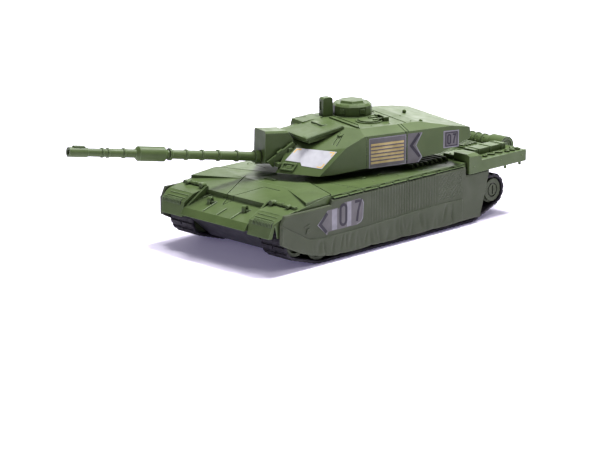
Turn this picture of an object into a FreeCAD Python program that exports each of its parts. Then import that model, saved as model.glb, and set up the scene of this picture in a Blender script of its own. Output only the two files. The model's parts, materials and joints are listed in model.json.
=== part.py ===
import FreeCAD, Part

import math
import os

from FreeCAD import Vector

# Radio controlled battle tank, about 1:48.  Millimetres.
# The front faces -Y, up is +Z, and the port side is +X.
# Everything is laid out from the turret ring centre on the ground plane;
# save() then moves it so that the origin is the bottom centre of the whole.

ORIGIN_SHIFT = 21.34          # from the ring centre to the middle of the length
FAR = 400.0                   # larger than the whole tank

# Hull
HULL_HALF = 21.5              # tub half width
SPONSON_HALF = 39.0
DECK_Z = 31.0
SPONSON_BOTTOM = 24.0
BELLY_Z = 5.0
WALL = 1.5
GLACIS_FOOT = (-82.7, 21.3)   # y, z of the crease above the nose plate
GLACIS_TOP = (-50.5, 31.0)
NOSE_TIP = (-85.4, 18.1)
REAR_Y = 84.0
DECK_END_Y = 46.0
RING_HOLE_R = 13.8
RING_COLLAR_R = 17.5
RING_COLLAR_TOP = 33.0

# Running gear
WHEEL_R = 7.35
BELT_GAP = 0.15
BELT_THICK = 1.6
WHEEL_Z = WHEEL_R + BELT_GAP + BELT_THICK
WHEEL_COUNT = 6
FIRST_WHEEL_Y = -53.5
WHEEL_PITCH = 21.2
IDLER_Y, IDLER_Z, IDLER_R = -68.0, 12.6, 6.65
SPROCKET_Y, SPROCKET_Z, SPROCKET_R = 67.5, 13.7, 6.45
BELT_X0, BELT_X1 = 23.0, 38.5
BELT_MID = (BELT_X0 + BELT_X1) / 2
RIDGE_HALF, RIDGE_HIGH = 0.95, 1.2
GROOVE_HALF, GROOVE_DEEP = 1.3, 1.8
WHEEL_X0, WHEEL_X1 = 24.2, 37.3
PIN_R = 1.25
RUNNING = 0.05                # radial clearance of every running fit

# Gear trains
MODULE = 0.5
MOTOR_TEETH = 9
LARGE_TEETH = 24
SMALL_TEETH = 9
FINAL_TEETH = 24
RING_TEETH = 64
TURRET_PINION_TEETH = 10
AXLE_R = 1.5
GEAR_PIN_R = 0.8
SHAFT_R = 0.5
MOTOR_R = 5.0
TURRET_MOTOR_R = 4.0
COMPOUND_LEAN = math.radians(10)
SMALL_DISTANCE = MODULE * (FINAL_TEETH + SMALL_TEETH) / 2
LARGE_DISTANCE = MODULE * (LARGE_TEETH + MOTOR_TEETH) / 2
COMPOUND_Y = SPROCKET_Y - SMALL_DISTANCE * math.cos(COMPOUND_LEAN)
COMPOUND_Z = SPROCKET_Z + SMALL_DISTANCE * math.sin(COMPOUND_LEAN)
MOTOR_Y = COMPOUND_Y - LARGE_DISTANCE * math.cos(COMPOUND_LEAN)
MOTOR_Z = COMPOUND_Z - LARGE_DISTANCE * math.sin(COMPOUND_LEAN)
RING_DISTANCE = MODULE * (RING_TEETH + TURRET_PINION_TEETH) / 2

# Turret, in its own frame: gun along -Y, turned to TURRET_YAW when placed
TURRET_YAW = -15.0
TURRET_HALF = 27.5
TURRET_BOTTOM = 34.4
ROOF_Z = 53.0
ROOF_HALF = 20.5
SIDE_TOP = 50.7
SHELL = 1.5

# Gun, in its own frame: pivot at the origin, muzzle along -Y
GUN_ELEVATION = 7.8
TRUNNION_Y, TRUNNION_Z, TRUNNION_R = -34.0, 39.03, 1.5
GUN_REACH = 110.3
POCKET_HALF = 6.2


def box(x0, x1, y0, y1, z0, z1):
    """A block between two opposite corners."""
    return Part.makeBox(x1 - x0, y1 - y0, z1 - z0, Vector(x0, y0, z0))


def rod_x(x0, x1, y, z, r):
    """A cylinder along X."""
    return Part.makeCylinder(r, x1 - x0, Vector(x0, y, z), Vector(1, 0, 0))


def rod_y(x, y0, y1, z, r):
    """A cylinder along Y."""
    return Part.makeCylinder(r, y1 - y0, Vector(x, y0, z), Vector(0, 1, 0))


def rod_z(x, y, z0, z1, r):
    """A cylinder along Z."""
    return Part.makeCylinder(r, z1 - z0, Vector(x, y, z0), Vector(0, 0, 1))


def prism_x(outline, x0, x1):
    """A side view outline of (y, z) points, given thickness along X."""
    points = [Vector(x0, y, z) for y, z in outline]
    return Part.Face(Part.makePolygon(points + points[:1])).extrude(Vector(x1 - x0, 0, 0))


def prism_z(outline, z0, z1):
    """A plan outline of (x, y) points, given height along Z."""
    points = [Vector(x, y, z0) for x, y in outline]
    return Part.Face(Part.makePolygon(points + points[:1])).extrude(Vector(0, 0, z1 - z0))


def prism_y(outline, y0, y1):
    """A front view outline of (x, z) points, given thickness along Y."""
    points = [Vector(x, y0, z) for x, z in outline]
    return Part.Face(Part.makePolygon(points + points[:1])).extrude(Vector(0, y1 - y0, 0))


def ring_polygon(x, y, z, r, sides):
    """A level polygon wire about a vertical axis."""
    steps = [2 * math.pi * (i + 0.5) / sides for i in range(sides)]
    points = [Vector(x + r * math.cos(a), y + r * math.sin(a), z) for a in steps]
    return Part.makePolygon(points + points[:1])


def faceted_cone(x, y, z0, r0, z1, r1, sides):
    """A many sided prism or frustum about a vertical axis."""
    wires = [ring_polygon(x, y, z0, r0, sides), ring_polygon(x, y, z1, r1, sides)]
    return Part.makeLoft(wires, True, True)


def trim(shape, a, b, c, kept, inset=0.0):
    """Cut off what lies beyond the plane through a, b and c, seen from the point kept."""
    a, b, c, kept = Vector(*a), Vector(*b), Vector(*c), Vector(*kept)
    normal = (b - a).cross(c - a)
    normal.normalize()
    if (kept - a).dot(normal) > 0:
        normal = normal * -1
    return shape.cut(Part.makeCylinder(FAR, FAR, a - normal * inset, normal))


def fused(shapes):
    """One solid from overlapping ones, with coplanar faces merged."""
    return shapes[0].multiFuse(shapes[1:]).removeSplitter()


def mirrored(shape):
    """The starboard twin of a port piece."""
    return shape.mirror(Vector(0, 0, 0), Vector(1, 0, 0))


def both_sides(shape):
    """A shape and its twin across the centre plane."""
    return [shape, mirrored(shape)]


def turned(shape, centre, axis, degrees):
    """A copy rotated about an axis through a point."""
    copy = shape.copy()
    copy.rotate(Vector(*centre), Vector(*axis), degrees)
    return copy


def save(node, shape):
    """Write one piece, moved so that the origin is the bottom centre of the whole tank."""
    placed = shape.copy()
    placed.translate(Vector(0, ORIGIN_SHIFT, 0))
    placed.exportStep("parts/%s.step" % node)
    extent = placed.BoundBox
    print("%-26s %2d solid(s) %10.1f mm3  y %7.2f %7.2f  z %6.2f %6.2f" % (
        node, len(placed.Solids), placed.Volume, extent.YMin, extent.YMax, extent.ZMin, extent.ZMax))


def save_pair(name, port_shape):
    """Write a port piece and its starboard twin."""
    save(name + "_port", port_shape)
    save(name + "_starboard", mirrored(port_shape))


# ---------------------------------------------------------------- gears

def involute(angle):
    return math.tan(angle) - angle


def gear_outline(teeth):
    """Points of an involute spur gear, one tooth centred on angle zero."""
    pressure = math.radians(20)
    backlash = 0.07
    pitch_r = MODULE * teeth / 2
    base_r = pitch_r * math.cos(pressure)
    root_r = pitch_r - 1.2 * MODULE
    tip_r = pitch_r + 0.8 * MODULE
    half_pitch = math.pi / (2 * teeth) - backlash / pitch_r
    flank = []
    for share in (0.0, 0.45, 0.75, 1.0):
        r = root_r + share * (tip_r - root_r)
        roll = math.acos(min(1.0, base_r / r))
        flank.append((r, half_pitch + involute(pressure) - involute(roll)))
    points = []
    for tooth in range(teeth):
        middle = 2 * math.pi * tooth / teeth
        sides = [(r, middle - a) for r, a in flank] + [(r, middle + a) for r, a in reversed(flank)]
        points += [(r * math.cos(a), r * math.sin(a)) for r, a in sides]
    return points


def gear_x(teeth, x0, x1, y, z, tooth_angle):
    """A spur gear on an axis along X, with a tooth pointing along tooth_angle in the YZ plane."""
    c, s = math.cos(tooth_angle), math.sin(tooth_angle)
    outline = [(y + u * c - v * s, z + u * s + v * c) for u, v in gear_outline(teeth)]
    return prism_x(outline, x0, x1)


def gear_z(teeth, x, y, z0, z1, tooth_angle):
    """A spur gear on an axis along Z, with a tooth pointing along tooth_angle in the XY plane."""
    c, s = math.cos(tooth_angle), math.sin(tooth_angle)
    outline = [(x + u * c - v * s, y + u * s + v * c) for u, v in gear_outline(teeth)]
    return prism_z(outline, z0, z1)


# ---------------------------------------------------------------- running gear

def belt_circles():
    """The circles (y, z, r) that a track belt's inner face wraps, front to back."""
    last_wheel_y = FIRST_WHEEL_Y + WHEEL_PITCH * (WHEEL_COUNT - 1)
    return [(IDLER_Y, IDLER_Z, IDLER_R + BELT_GAP), (FIRST_WHEEL_Y, WHEEL_Z, WHEEL_R + BELT_GAP),
            (last_wheel_y, WHEEL_Z, WHEEL_R + BELT_GAP), (SPROCKET_Y, SPROCKET_Z, SPROCKET_R + BELT_GAP)]


def belt_loop(offset, x0, x1):
    """The solid inside the loop at a distance outside the inner face, from tangents and arcs."""
    circles = [(y, z, r + offset) for y, z, r in belt_circles()]
    leave = []
    for (y0, z0, r0), (y1, z1, r1) in zip(circles, circles[1:] + circles[:1]):
        direction = math.atan2(z1 - z0, y1 - y0)
        spread = math.acos((r0 - r1) / math.hypot(y1 - y0, z1 - z0))
        leave.append(direction - spread)
    edges = []
    for i, (y, z, r) in enumerate(circles):
        start, end = leave[i - 1], leave[i]
        while end < start:
            end += 2 * math.pi
        arc = [Vector(x0, y + r * math.cos(a), z + r * math.sin(a)) for a in (start, (start + end) / 2, end)]
        edges.append(Part.Arc(*arc).toShape())
        y1, z1, r1 = circles[(i + 1) % len(circles)]
        landing = Vector(x0, y1 + r1 * math.cos(end), z1 + r1 * math.sin(end))
        edges.append(Part.LineSegment(arc[2], landing).toShape())
    return Part.Face(Part.Wire(edges)).extrude(Vector(x1 - x0, 0, 0))


def track():
    """Rubber belt with a guide ridge along the middle of its inner face."""
    ridge_x = (BELT_MID - RIDGE_HALF, BELT_MID + RIDGE_HALF)
    belt = belt_loop(BELT_THICK, BELT_X0, BELT_X1).cut(belt_loop(0, BELT_X0 - 1, BELT_X1 + 1))
    ridge = belt_loop(0.2, *ridge_x).cut(belt_loop(-RIDGE_HIGH, ridge_x[0] - 1, ridge_x[1] + 1))
    return fused([belt, ridge])


def grooved_roller(y, z, r):
    """Twin rims with a groove for the guide ridge and a dished outer face."""
    roller = rod_x(WHEEL_X0, WHEEL_X1, y, z, r)
    groove = rod_x(BELT_MID - GROOVE_HALF, BELT_MID + GROOVE_HALF, y, z, r + 1)
    groove = groove.cut(rod_x(BELT_X0, BELT_X1, y, z, r - GROOVE_DEEP))
    dish = Part.makeCone(r - 1.6, r - 2.2, 1.4, Vector(WHEEL_X1 + 0.01, y, z), Vector(-1, 0, 0))
    return roller.cut(groove).cut(dish)


def road_wheel(y, z, r):
    """Free running wheel with a hub boss, on a fixed pin."""
    hub = rod_x(WHEEL_X1 - 2, WHEEL_X1 - 0.2, y, z, 2.6)
    return fused([grooved_roller(y, z, r), hub]).cut(rod_x(0, FAR, y, z, PIN_R + RUNNING))


def sprocket():
    """Drive sprocket: notched twin rims, a plain face with a ring groove and a slotted hub."""
    y, z, r = SPROCKET_Y, SPROCKET_Z, SPROCKET_R
    body = rod_x(WHEEL_X0, WHEEL_X1 - 0.8, y, z, r)
    face = rod_x(WHEEL_X1 - 0.8, WHEEL_X1 + 0.6, y, z, r - 0.85)
    groove = rod_x(BELT_MID - GROOVE_HALF, BELT_MID + GROOVE_HALF, y, z, r + 1)
    body = body.cut(groove.cut(rod_x(BELT_X0, BELT_X1, y, z, r - GROOVE_DEEP)))
    notches = []
    notch_count = 14
    for i in range(notch_count):
        notch = rod_x(WHEEL_X0 - 1, WHEEL_X1 - 1.4, y, z + r + 0.35, 0.8)
        notches.append(turned(notch, (0, y, z), (1, 0, 0), 360.0 * i / notch_count))
    ring = rod_x(WHEEL_X1 + 0.1, FAR, y, z, 3.5).cut(rod_x(0, FAR, y, z, 2.9))
    slot = box(WHEEL_X1 + 0.1, WHEEL_X1 + 2, y - 0.45, y + 0.45, z - 2.2, z + 2.2)
    bore = rod_x(0, WHEEL_X1 - 3, y, z, AXLE_R)
    return fused([body, face]).cut(Part.makeCompound(notches)).cut(ring).cut(slot).cut(bore)


def drive_axle():
    """Steel half axle pressed into the sprocket and the final gear."""
    return rod_x(8.0, WHEEL_X1 - 3, SPROCKET_Y, SPROCKET_Z, AXLE_R)


def wheel_places():
    """The (y, z) centre of each road wheel, front to back."""
    return [(FIRST_WHEEL_Y + WHEEL_PITCH * i, WHEEL_Z) for i in range(WHEEL_COUNT)]


def axle_pins():
    """Headed pins pressed through the tub wall, one for each road wheel and idler."""
    pins = []
    for y, z in wheel_places() + [(IDLER_Y, IDLER_Z)]:
        shank = rod_x(19.6, WHEEL_X1, y, z, PIN_R)
        head = rod_x(WHEEL_X1 - 0.1, WHEEL_X1 + 0.7, y, z, 1.9)
        pins += both_sides(fused([shank, head]))
    return Part.makeCompound(pins)


# ---------------------------------------------------------------- drive train

def final_gear():
    angle = math.pi - COMPOUND_LEAN
    gear = gear_x(FINAL_TEETH, 12.0, 14.6, SPROCKET_Y, SPROCKET_Z, angle)
    return gear.cut(rod_x(0, FAR, SPROCKET_Y, SPROCKET_Z, AXLE_R))


def compound_gear():
    """Large gear driven by the motor pinion, moulded with the small one that drives the axle."""
    large = gear_x(LARGE_TEETH, 15.4, 17.4, COMPOUND_Y, COMPOUND_Z, math.pi + COMPOUND_LEAN)
    small_angle = -COMPOUND_LEAN + math.pi / SMALL_TEETH
    small = gear_x(SMALL_TEETH, 11.8, 15.4, COMPOUND_Y, COMPOUND_Z, small_angle)
    bore = rod_x(0, FAR, COMPOUND_Y, COMPOUND_Z, GEAR_PIN_R + RUNNING)
    return large.fuse(small).cut(bore)


def motor_pinion():
    """Pinion on its motor shaft."""
    pinion_angle = COMPOUND_LEAN + math.pi / MOTOR_TEETH
    gear = gear_x(MOTOR_TEETH, 15.0, 17.8, MOTOR_Y, MOTOR_Z, pinion_angle)
    shaft = rod_x(10.0, 17.9, MOTOR_Y, MOTOR_Z, SHAFT_R)
    return gear.fuse(shaft)


def drive_motor():
    """Small direct current motor with a flat sided can and a rear terminal cap."""
    x0, x1 = 2.0, 14.2
    can = rod_x(x0, x1, MOTOR_Y, MOTOR_Z, MOTOR_R)
    can = can.common(box(x0, x1, MOTOR_Y - MOTOR_R, MOTOR_Y + MOTOR_R, MOTOR_Z - 4.1, MOTOR_Z + 4.1))
    nose = rod_x(x1, x1 + 0.5, MOTOR_Y, MOTOR_Z, 1.5)
    cap = rod_x(x0 - 1.0, x0, MOTOR_Y, MOTOR_Z, 3.9)
    return fused([can, nose, cap]).cut(rod_x(9.9, FAR, MOTOR_Y, MOTOR_Z, SHAFT_R + RUNNING))


def gearbox_frame():
    """Two bearing plates on spacers; the inner one clasps the motor, the outer one has the pin."""
    y0, y1, z0, z1 = 43.5, 72.4, BELLY_Z + WALL + 0.1, 21.9
    inner = box(10.0, 11.0, y0, y1, z0, z1)
    outer = box(18.2, 19.4, y0, y1, z0, z1)
    spacers = [rod_x(10.0, 19.4, y, z, 0.8) for y, z in ((44.8, 20.3), (71.5, 7.55), (44.8, 7.9), (71.2, 20.7))]
    pin = rod_x(10.5, 18.8, COMPOUND_Y, COMPOUND_Z, GEAR_PIN_R)
    motor_seat = rod_x(9, 12, MOTOR_Y, MOTOR_Z, MOTOR_R)
    motor_seat = motor_seat.common(box(9, 12, y0, y1, MOTOR_Z - 4.1, MOTOR_Z + 4.1))
    axle_hole = rod_x(9, 20, SPROCKET_Y, SPROCKET_Z, AXLE_R + RUNNING)
    shaft_hole = rod_x(18, 20, MOTOR_Y, MOTOR_Z, SHAFT_R + 0.6)
    return fused([inner, outer, pin] + spacers).cut(motor_seat).cut(axle_hole).cut(shaft_hole)


def turret_motor():
    """Upright motor that turns the turret ring."""
    can = rod_z(0, RING_DISTANCE, 9.0, 22.0, TURRET_MOTOR_R)
    nose = rod_z(0, RING_DISTANCE, 22.0, 22.6, 1.5)
    return fused([can, nose]).cut(rod_z(0, RING_DISTANCE, 17.9, 30, SHAFT_R + RUNNING))


def turret_pinion():
    half_tooth = math.pi / TURRET_PINION_TEETH
    gear = gear_z(TURRET_PINION_TEETH, 0, RING_DISTANCE, 24.2, 27.2, -math.pi / 2 + half_tooth)
    return gear.fuse(rod_z(0, RING_DISTANCE, 18.0, 27.4, SHAFT_R))


def turret_ring_gear():
    """Ring gear pushed up onto the turret neck, which also keeps the turret in the hull."""
    gear = gear_z(RING_TEETH, 0, 0, 24.6, 26.8, math.pi / 2 - math.radians(TURRET_YAW))
    return gear.cut(rod_z(0, 0, 20, 30, 12.0))


# ---------------------------------------------------------------- electrics

BATTERY_Y0, BATTERY_Y1, BATTERY_R, BATTERY_Z = -50.0, -5.5, 5.2, 12.6
BOARD_Y0, BOARD_Y1, BOARD_HALF, BOARD_Z = 24.5, 41.5, 11.5, 14.0
SWITCH_X, SWITCH_Y = 0.0, 6.0


def battery_cells():
    """Three cells side by side, each with its raised positive cap."""
    cells = []
    for x in (-11.0, 0.0, 11.0):
        can = rod_y(x, BATTERY_Y0, BATTERY_Y1 - 1.0, BATTERY_Z, BATTERY_R)
        cells.append(fused([can, rod_y(x, BATTERY_Y1 - 1.0, BATTERY_Y1, BATTERY_Z, 1.9)]))
    return Part.makeCompound(cells)


def battery_contacts():
    """Sprung metal strips at both ends of the cells."""
    strips = []
    for x in (-11.0, 0.0, 11.0):
        for y in (BATTERY_Y0 - 0.6, BATTERY_Y1 + 0.1):
            strips.append(box(x - 3.5, x + 3.5, y, y + 0.4, BATTERY_Z - 3.5, BATTERY_Z + 3.5))
    return Part.makeCompound(strips)


def battery_cover():
    """Belly hatch under the cells, with a finger ridge and a counterbored screw hole."""
    plate = box(-15.4, 15.4, -51.4, 0.4, BELLY_Z, BELLY_Z + 1.4)
    ridges = [box(-6, 6, y, y + 0.8, BELLY_Z - 0.4, BELLY_Z + 0.1) for y in (-47, -45, -43)]
    hole = rod_z(0, -2.2, 0, 10, 1.0)
    return fused([plate] + ridges).cut(hole)


def circuit_board():
    """Receiver board with its components."""
    board = box(-BOARD_HALF, BOARD_HALF, BOARD_Y0, BOARD_Y1, BOARD_Z, BOARD_Z + 1.0)
    chip = box(-3, 3, 30, 35, BOARD_Z + 0.9, BOARD_Z + 2.2)
    crystal = box(5.5, 9.5, 27.8, 29.8, BOARD_Z + 0.9, BOARD_Z + 3.0)
    coil = rod_z(-7.5, 29, BOARD_Z + 0.9, BOARD_Z + 4.5, 1.8)
    capacitors = [rod_z(x, 38.5, BOARD_Z + 0.9, BOARD_Z + 4.0, 1.5) for x in (-7.5, -3.0, 6.5)]
    return fused([board, chip, crystal, coil] + capacitors)


def switch_body():
    """Slide switch housing above its slot in the belly."""
    case = box(SWITCH_X - 5, SWITCH_X + 5, SWITCH_Y - 2.5, SWITCH_Y + 2.5, BELLY_Z + WALL, 10.5)
    return case.cut(box(SWITCH_X - 3.4, SWITCH_X + 3.4, SWITCH_Y - 1.3, SWITCH_Y + 1.3, 5, 8.7))


def switch_slider():
    """Ribbed slider, shown in the off position at the starboard end of its slot."""
    x = SWITCH_X - 1.2
    base = box(x - 1.9, x + 1.9, SWITCH_Y - 1.1, SWITCH_Y + 1.1, 6.9, 8.4)
    stem = box(x - 0.9, x + 0.9, SWITCH_Y - 1.0, SWITCH_Y + 1.0, BELLY_Z - 0.7, 7.0)
    return fused([base, stem])


def wire(points, radius):
    """A round wire along straight runs joined by tangent arcs as large as the runs allow."""
    points = [Vector(*p) for p in points]
    edges = []
    here = points[0]
    for before, corner, after in zip(points, points[1:], points[2:]):
        inward, outward = corner - before, after - corner
        turn = inward.getAngle(outward)
        cut_back = 0.45 * min(inward.Length, outward.Length)
        inward.normalize()
        outward.normalize()
        start, end = corner - inward * cut_back, corner + outward * cut_back
        bend_radius = cut_back / math.tan(turn / 2)
        bisector = outward - inward
        bisector.normalize()
        centre = corner + bisector * math.hypot(bend_radius, cut_back)
        middle = centre - bisector * bend_radius
        edges.append(Part.LineSegment(here, start).toShape())
        edges.append(Part.Arc(start, middle, end).toShape())
        here = end
    edges.append(Part.LineSegment(here, points[-1]).toShape())
    path = Part.Wire(edges)
    section = Part.Wire(Part.Circle(points[0], points[1] - points[0], radius).toShape())
    return path.makePipeShell([section], True, False)


def wiring():
    """Leads from the cells to the board, and from the board to the two drive motors."""
    start_y, board_top = BATTERY_Y1 + 0.55, BOARD_Z + 1.05
    leads = []
    for side in (-1, 1):
        x = side * 8.5
        run = [(x, start_y, 15.0), (x, 2.0, 15.0), (x - side * 0.6, 9.0, 17.5), (x, 17.0, 19.8),
               (x, 23.5, 20.6), (x, 26.5, 18.6), (x, 26.5, board_top)]
        leads.append(wire(run, 0.5))
        run = [(side * 9.2, 36.0, board_top), (side * 9.2, 36.0, 17.6), (side * 8.6, 39.6, 20.2),
               (side * 6.0, 43.6, 21.2), (side * 3.2, 47.6, 21.4), (side * 1.5, MOTOR_Y, 20.2),
               (side * 1.5, MOTOR_Y, MOTOR_Z + 3.95)]
        leads.append(wire(run, 0.5))
    return Part.makeCompound(leads)


# ---------------------------------------------------------------- hull

SCREW_PLACES = [(15.0, -58.0), (-15.0, -58.0), (15.0, 20.0), (-15.0, 20.0)]
POST_TOP = 20.0


def lower_hull():
    """Tub with its battery bay, screw posts, motor cup and axle bosses."""
    side_view = [(-66, BELLY_Z), (-80.5, 17.0), (-80.5, 18.7), (-59.6, SPONSON_BOTTOM), (REAR_Y, SPONSON_BOTTOM),
                 (REAR_Y, 12), (76, BELLY_Z)]
    inside = [(-65.2, BELLY_Z + WALL), (-79, 17.9), (-79, 25), (REAR_Y - WALL, 25),
              (REAR_Y - WALL, 12.7), (75.3, BELLY_Z + WALL)]
    tub = prism_x(side_view, -HULL_HALF, HULL_HALF).cut(prism_x(inside, WALL - HULL_HALF, HULL_HALF - WALL))
    bay = box(-17.6, 17.6, -52.2, 1.2, BELLY_Z, 14.5).cut(box(-16.4, 16.4, -51.0, -4.6, BELLY_Z + WALL, 15))
    bay = bay.cut(box(-12, 12, -3.4, 1.5, 8, 15))
    posts = [rod_z(x, y, BELLY_Z, POST_TOP, 2.6) for x, y in SCREW_PLACES]
    cup = rod_z(0, RING_DISTANCE, BELLY_Z, 15, TURRET_MOTOR_R + 1.2)
    board_posts = [rod_z(x, y, BELLY_Z, BOARD_Z, 1.2) for x in (-9, 9) for y in (27, 39)]
    bosses = []
    for y, z in wheel_places() + [(IDLER_Y, IDLER_Z)]:
        bosses += both_sides(rod_x(19.6, HULL_HALF + 1.2, y, z, 2.4))
    hull = fused([tub, bay, cup] + posts + board_posts + bosses + drum_cradles())
    for y, z in wheel_places() + [(IDLER_Y, IDLER_Z)]:
        hull = hull.cut(rod_x(-FAR, FAR, y, z, PIN_R))
    for side in (-1, 1):
        for x, y in SCREW_PLACES:
            if x * side > 0:
                hull = hull.cut(rod_z(x, y, 0, 8, 2.2)).cut(rod_z(x, y, 0, 21, 1.05))
    hull = hull.cut(rod_x(-FAR, FAR, SPROCKET_Y, SPROCKET_Z, AXLE_R + 0.2))
    hull = hull.cut(box(-15.5, 15.5, -51.5, 0.5, 0, BELLY_Z + WALL))
    hull = hull.cut(rod_z(0, -2.2, 0, 12, 0.9))
    hull = hull.cut(rod_z(0, RING_DISTANCE, 9, 30, TURRET_MOTOR_R))
    return hull.cut(box(SWITCH_X - 2.9, SWITCH_X + 2.9, SWITCH_Y - 1.15, SWITCH_Y + 1.15, 0, 8))


def on_glacis(y):
    """Height of the sloping front plate at y."""
    slope = (GLACIS_TOP[1] - GLACIS_FOOT[1]) / (GLACIS_TOP[0] - GLACIS_FOOT[0])
    return GLACIS_FOOT[1] + (y - GLACIS_FOOT[0]) * slope


def sponson_outline(inset):
    """Side view of the hull top between the mudguards and the rear bins."""
    front_y, break_y = -69.0 + inset, -50.0
    return [(front_y, SPONSON_BOTTOM + inset), (front_y, 27.6 - inset), (break_y, DECK_Z - inset),
            (DECK_END_Y - inset, DECK_Z - inset), (DECK_END_Y - inset, SPONSON_BOTTOM + inset)]


def glacis_fence():
    """Thin fin beside the nose plate."""
    outline = [(-82.5, 21.0), (-80.8, on_glacis(-80.8) + 0.5), (-69.4, 29.2), (-68.2, 28.9), (-68.0, 25.0)]
    return prism_x(outline, 20.2, 21.2)


def tow_eye():
    """Upright lug with a hole, on a small foot."""
    y, z = -75.0, on_glacis(-75.0)
    lug = fused([box(10.6, 12.6, y - 1.3, y + 1.3, z - 1, z + 1.6), rod_x(10.6, 12.6, y, z + 1.6, 1.3)])
    foot = box(10.0, 13.2, y - 0.6, y + 2.6, z - 1, z + 0.9)
    return fused([lug, foot]).cut(rod_x(10, 14, y, z + 1.6, 0.55))


def corner_panel():
    """Faceted raised panel on the forward corner of the deck."""
    panel = prism_z([(13, -50.5), (9.5, -34), (38.6, -46.5), (38.6, -62.5)], 24.5, 33.0)
    panel = trim(panel, (13, -50.5, 30.8), (9.5, -34, 31.3), (38.6, -46.5, 31.7), (20, -48, 20))
    return trim(panel, (13, -50.5, 30.8), (38.6, -62.5, 30.3), (38.6, -46.5, 31.7), (20, -48, 20))


def upper_hull():
    """Deck, sponsons, glacis and turret collar, open below between the tub walls."""
    nose = [NOSE_TIP, GLACIS_FOOT, GLACIS_TOP, (-50.5, SPONSON_BOTTOM), (-60.6, SPONSON_BOTTOM),
            (-80.4, 19.2), (-82.2, 18.1)]
    hull = fused([prism_x(nose, -HULL_HALF, HULL_HALF), prism_x(sponson_outline(0), -SPONSON_HALF, SPONSON_HALF)]
                 + both_sides(corner_panel()))
    nose_inside = [(-79.6, 18.0), (-79.6, 20.4), (-50.5, on_glacis(-50.5) - 1.7), (-50.5, 18.0)]
    wall_x = HULL_HALF - WALL
    hull = hull.cut(prism_x(nose_inside, -wall_x, wall_x))
    hull = hull.cut(prism_x(sponson_outline(WALL), WALL - SPONSON_HALF, SPONSON_HALF - WALL))
    hull = hull.cut(box(-wall_x, wall_x, -67.4, DECK_END_Y - WALL, 20, 27))
    collar = rod_z(0, 0, DECK_Z - 1, RING_COLLAR_TOP, RING_COLLAR_R)
    bosses = [rod_z(x, y, POST_TOP + 0.05, 30 if y > 0 else 28.0, 2.6) for x, y in SCREW_PLACES]
    trim_pieces = both_sides(glacis_fence()) + both_sides(tow_eye()) + side_clips()
    hull = fused([hull, collar] + bosses + trim_pieces)
    hull = hull.cut(rod_z(0, 0, 20, FAR, RING_HOLE_R))
    for x, y in SCREW_PLACES:
        hull = hull.cut(rod_z(x, y, 19, 25, 0.9))
    for groove in deck_grooves():
        hull = hull.cut(groove)
    return hull


def side_clips():
    """Row of small hooks under the deck edge that the skirts hang from."""
    clips = []
    for i in range(9):
        y = -40.0 + 9.6 * i
        clips += both_sides(box(SPONSON_HALF - 0.1, SPONSON_HALF + 0.55, y, y + 6.4, 29.9, 30.7))
    return clips


def groove_line(x0, y0, x1, y1, width, z0):
    """A straight engraved line on the deck, from z0 upwards."""
    length = math.hypot(x1 - x0, y1 - y0)
    cutter = box(0, length, -width / 2, width / 2, z0, z0 + 12)
    cutter = turned(cutter, (0, 0, 0), (0, 0, 1), math.degrees(math.atan2(y1 - y0, x1 - x0)))
    cutter.translate(Vector(x0, y0, 0))
    return cutter


def deck_grooves():
    """Engraved panel lines: the driver's hatch, the glacis plates and the deck joint."""
    depth = 0.45
    lines = []
    for x0, y0, x1, y1 in ((-4.5, -74, -16.5, -47.5), (-4.5, -74, 3.0, -54.5), (3.0, -54.5, 13.5, -54.5)):
        for step in range(6):
            a, b = step / 6.0, (step + 1) / 6.0
            ya, yb = y0 + (y1 - y0) * a, y0 + (y1 - y0) * b
            low = min(DECK_Z, on_glacis(min(ya, yb)), on_glacis(max(ya, yb))) - depth
            lines.append(groove_line(x0 + (x1 - x0) * a, ya, x0 + (x1 - x0) * b, yb, 0.5, low))
    for x in (-9.5, 0.0, 9.5):
        lines += [groove_line(x, y, x, y + 1.2, 0.45, on_glacis(y) - depth) for y in (-82, -80.9, -79.8, -78.7, -77.6)]
    lines += both_sides(groove_line(10.0, -34.5, 39.5, -47.2, 0.5, 30.6))
    lines += both_sides(groove_line(21.0, -30, 39.5, -27, 0.4, DECK_Z - 0.35))
    return lines


def mudguard():
    """Front mudguard: a thin shell over the idler with a bevelled outer corner."""
    outer = [(-83.8, 16.6), (-82.2, 23.4), (-76.3, 26.5), (-69.1, 27.8), (-69.1, 24.2), (-79.0, 16.6)]
    inner = [(-82.5, 15.0), (-81.1, 22.6), (-75.8, 25.3), (-70.3, 26.2), (-70.3, 15.0)]
    guard = prism_x(outer, 21.9, 38.7)
    guard = trim(guard, (38.7, -76.5, 16.6), (36.0, -83.8, 16.6), (38.0, -80.0, 25.3), (30, -76, 22))
    guard = guard.cut(prism_x(inner, 23.1, 37.4))
    ribs = [box(23.4, 35.6, y, y + 0.5, z, z + 0.6) for y, z in ((-80.2, 24.15), (-78.3, 25.15), (-76.4, 26.0))]
    return fused([guard] + ribs)


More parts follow.
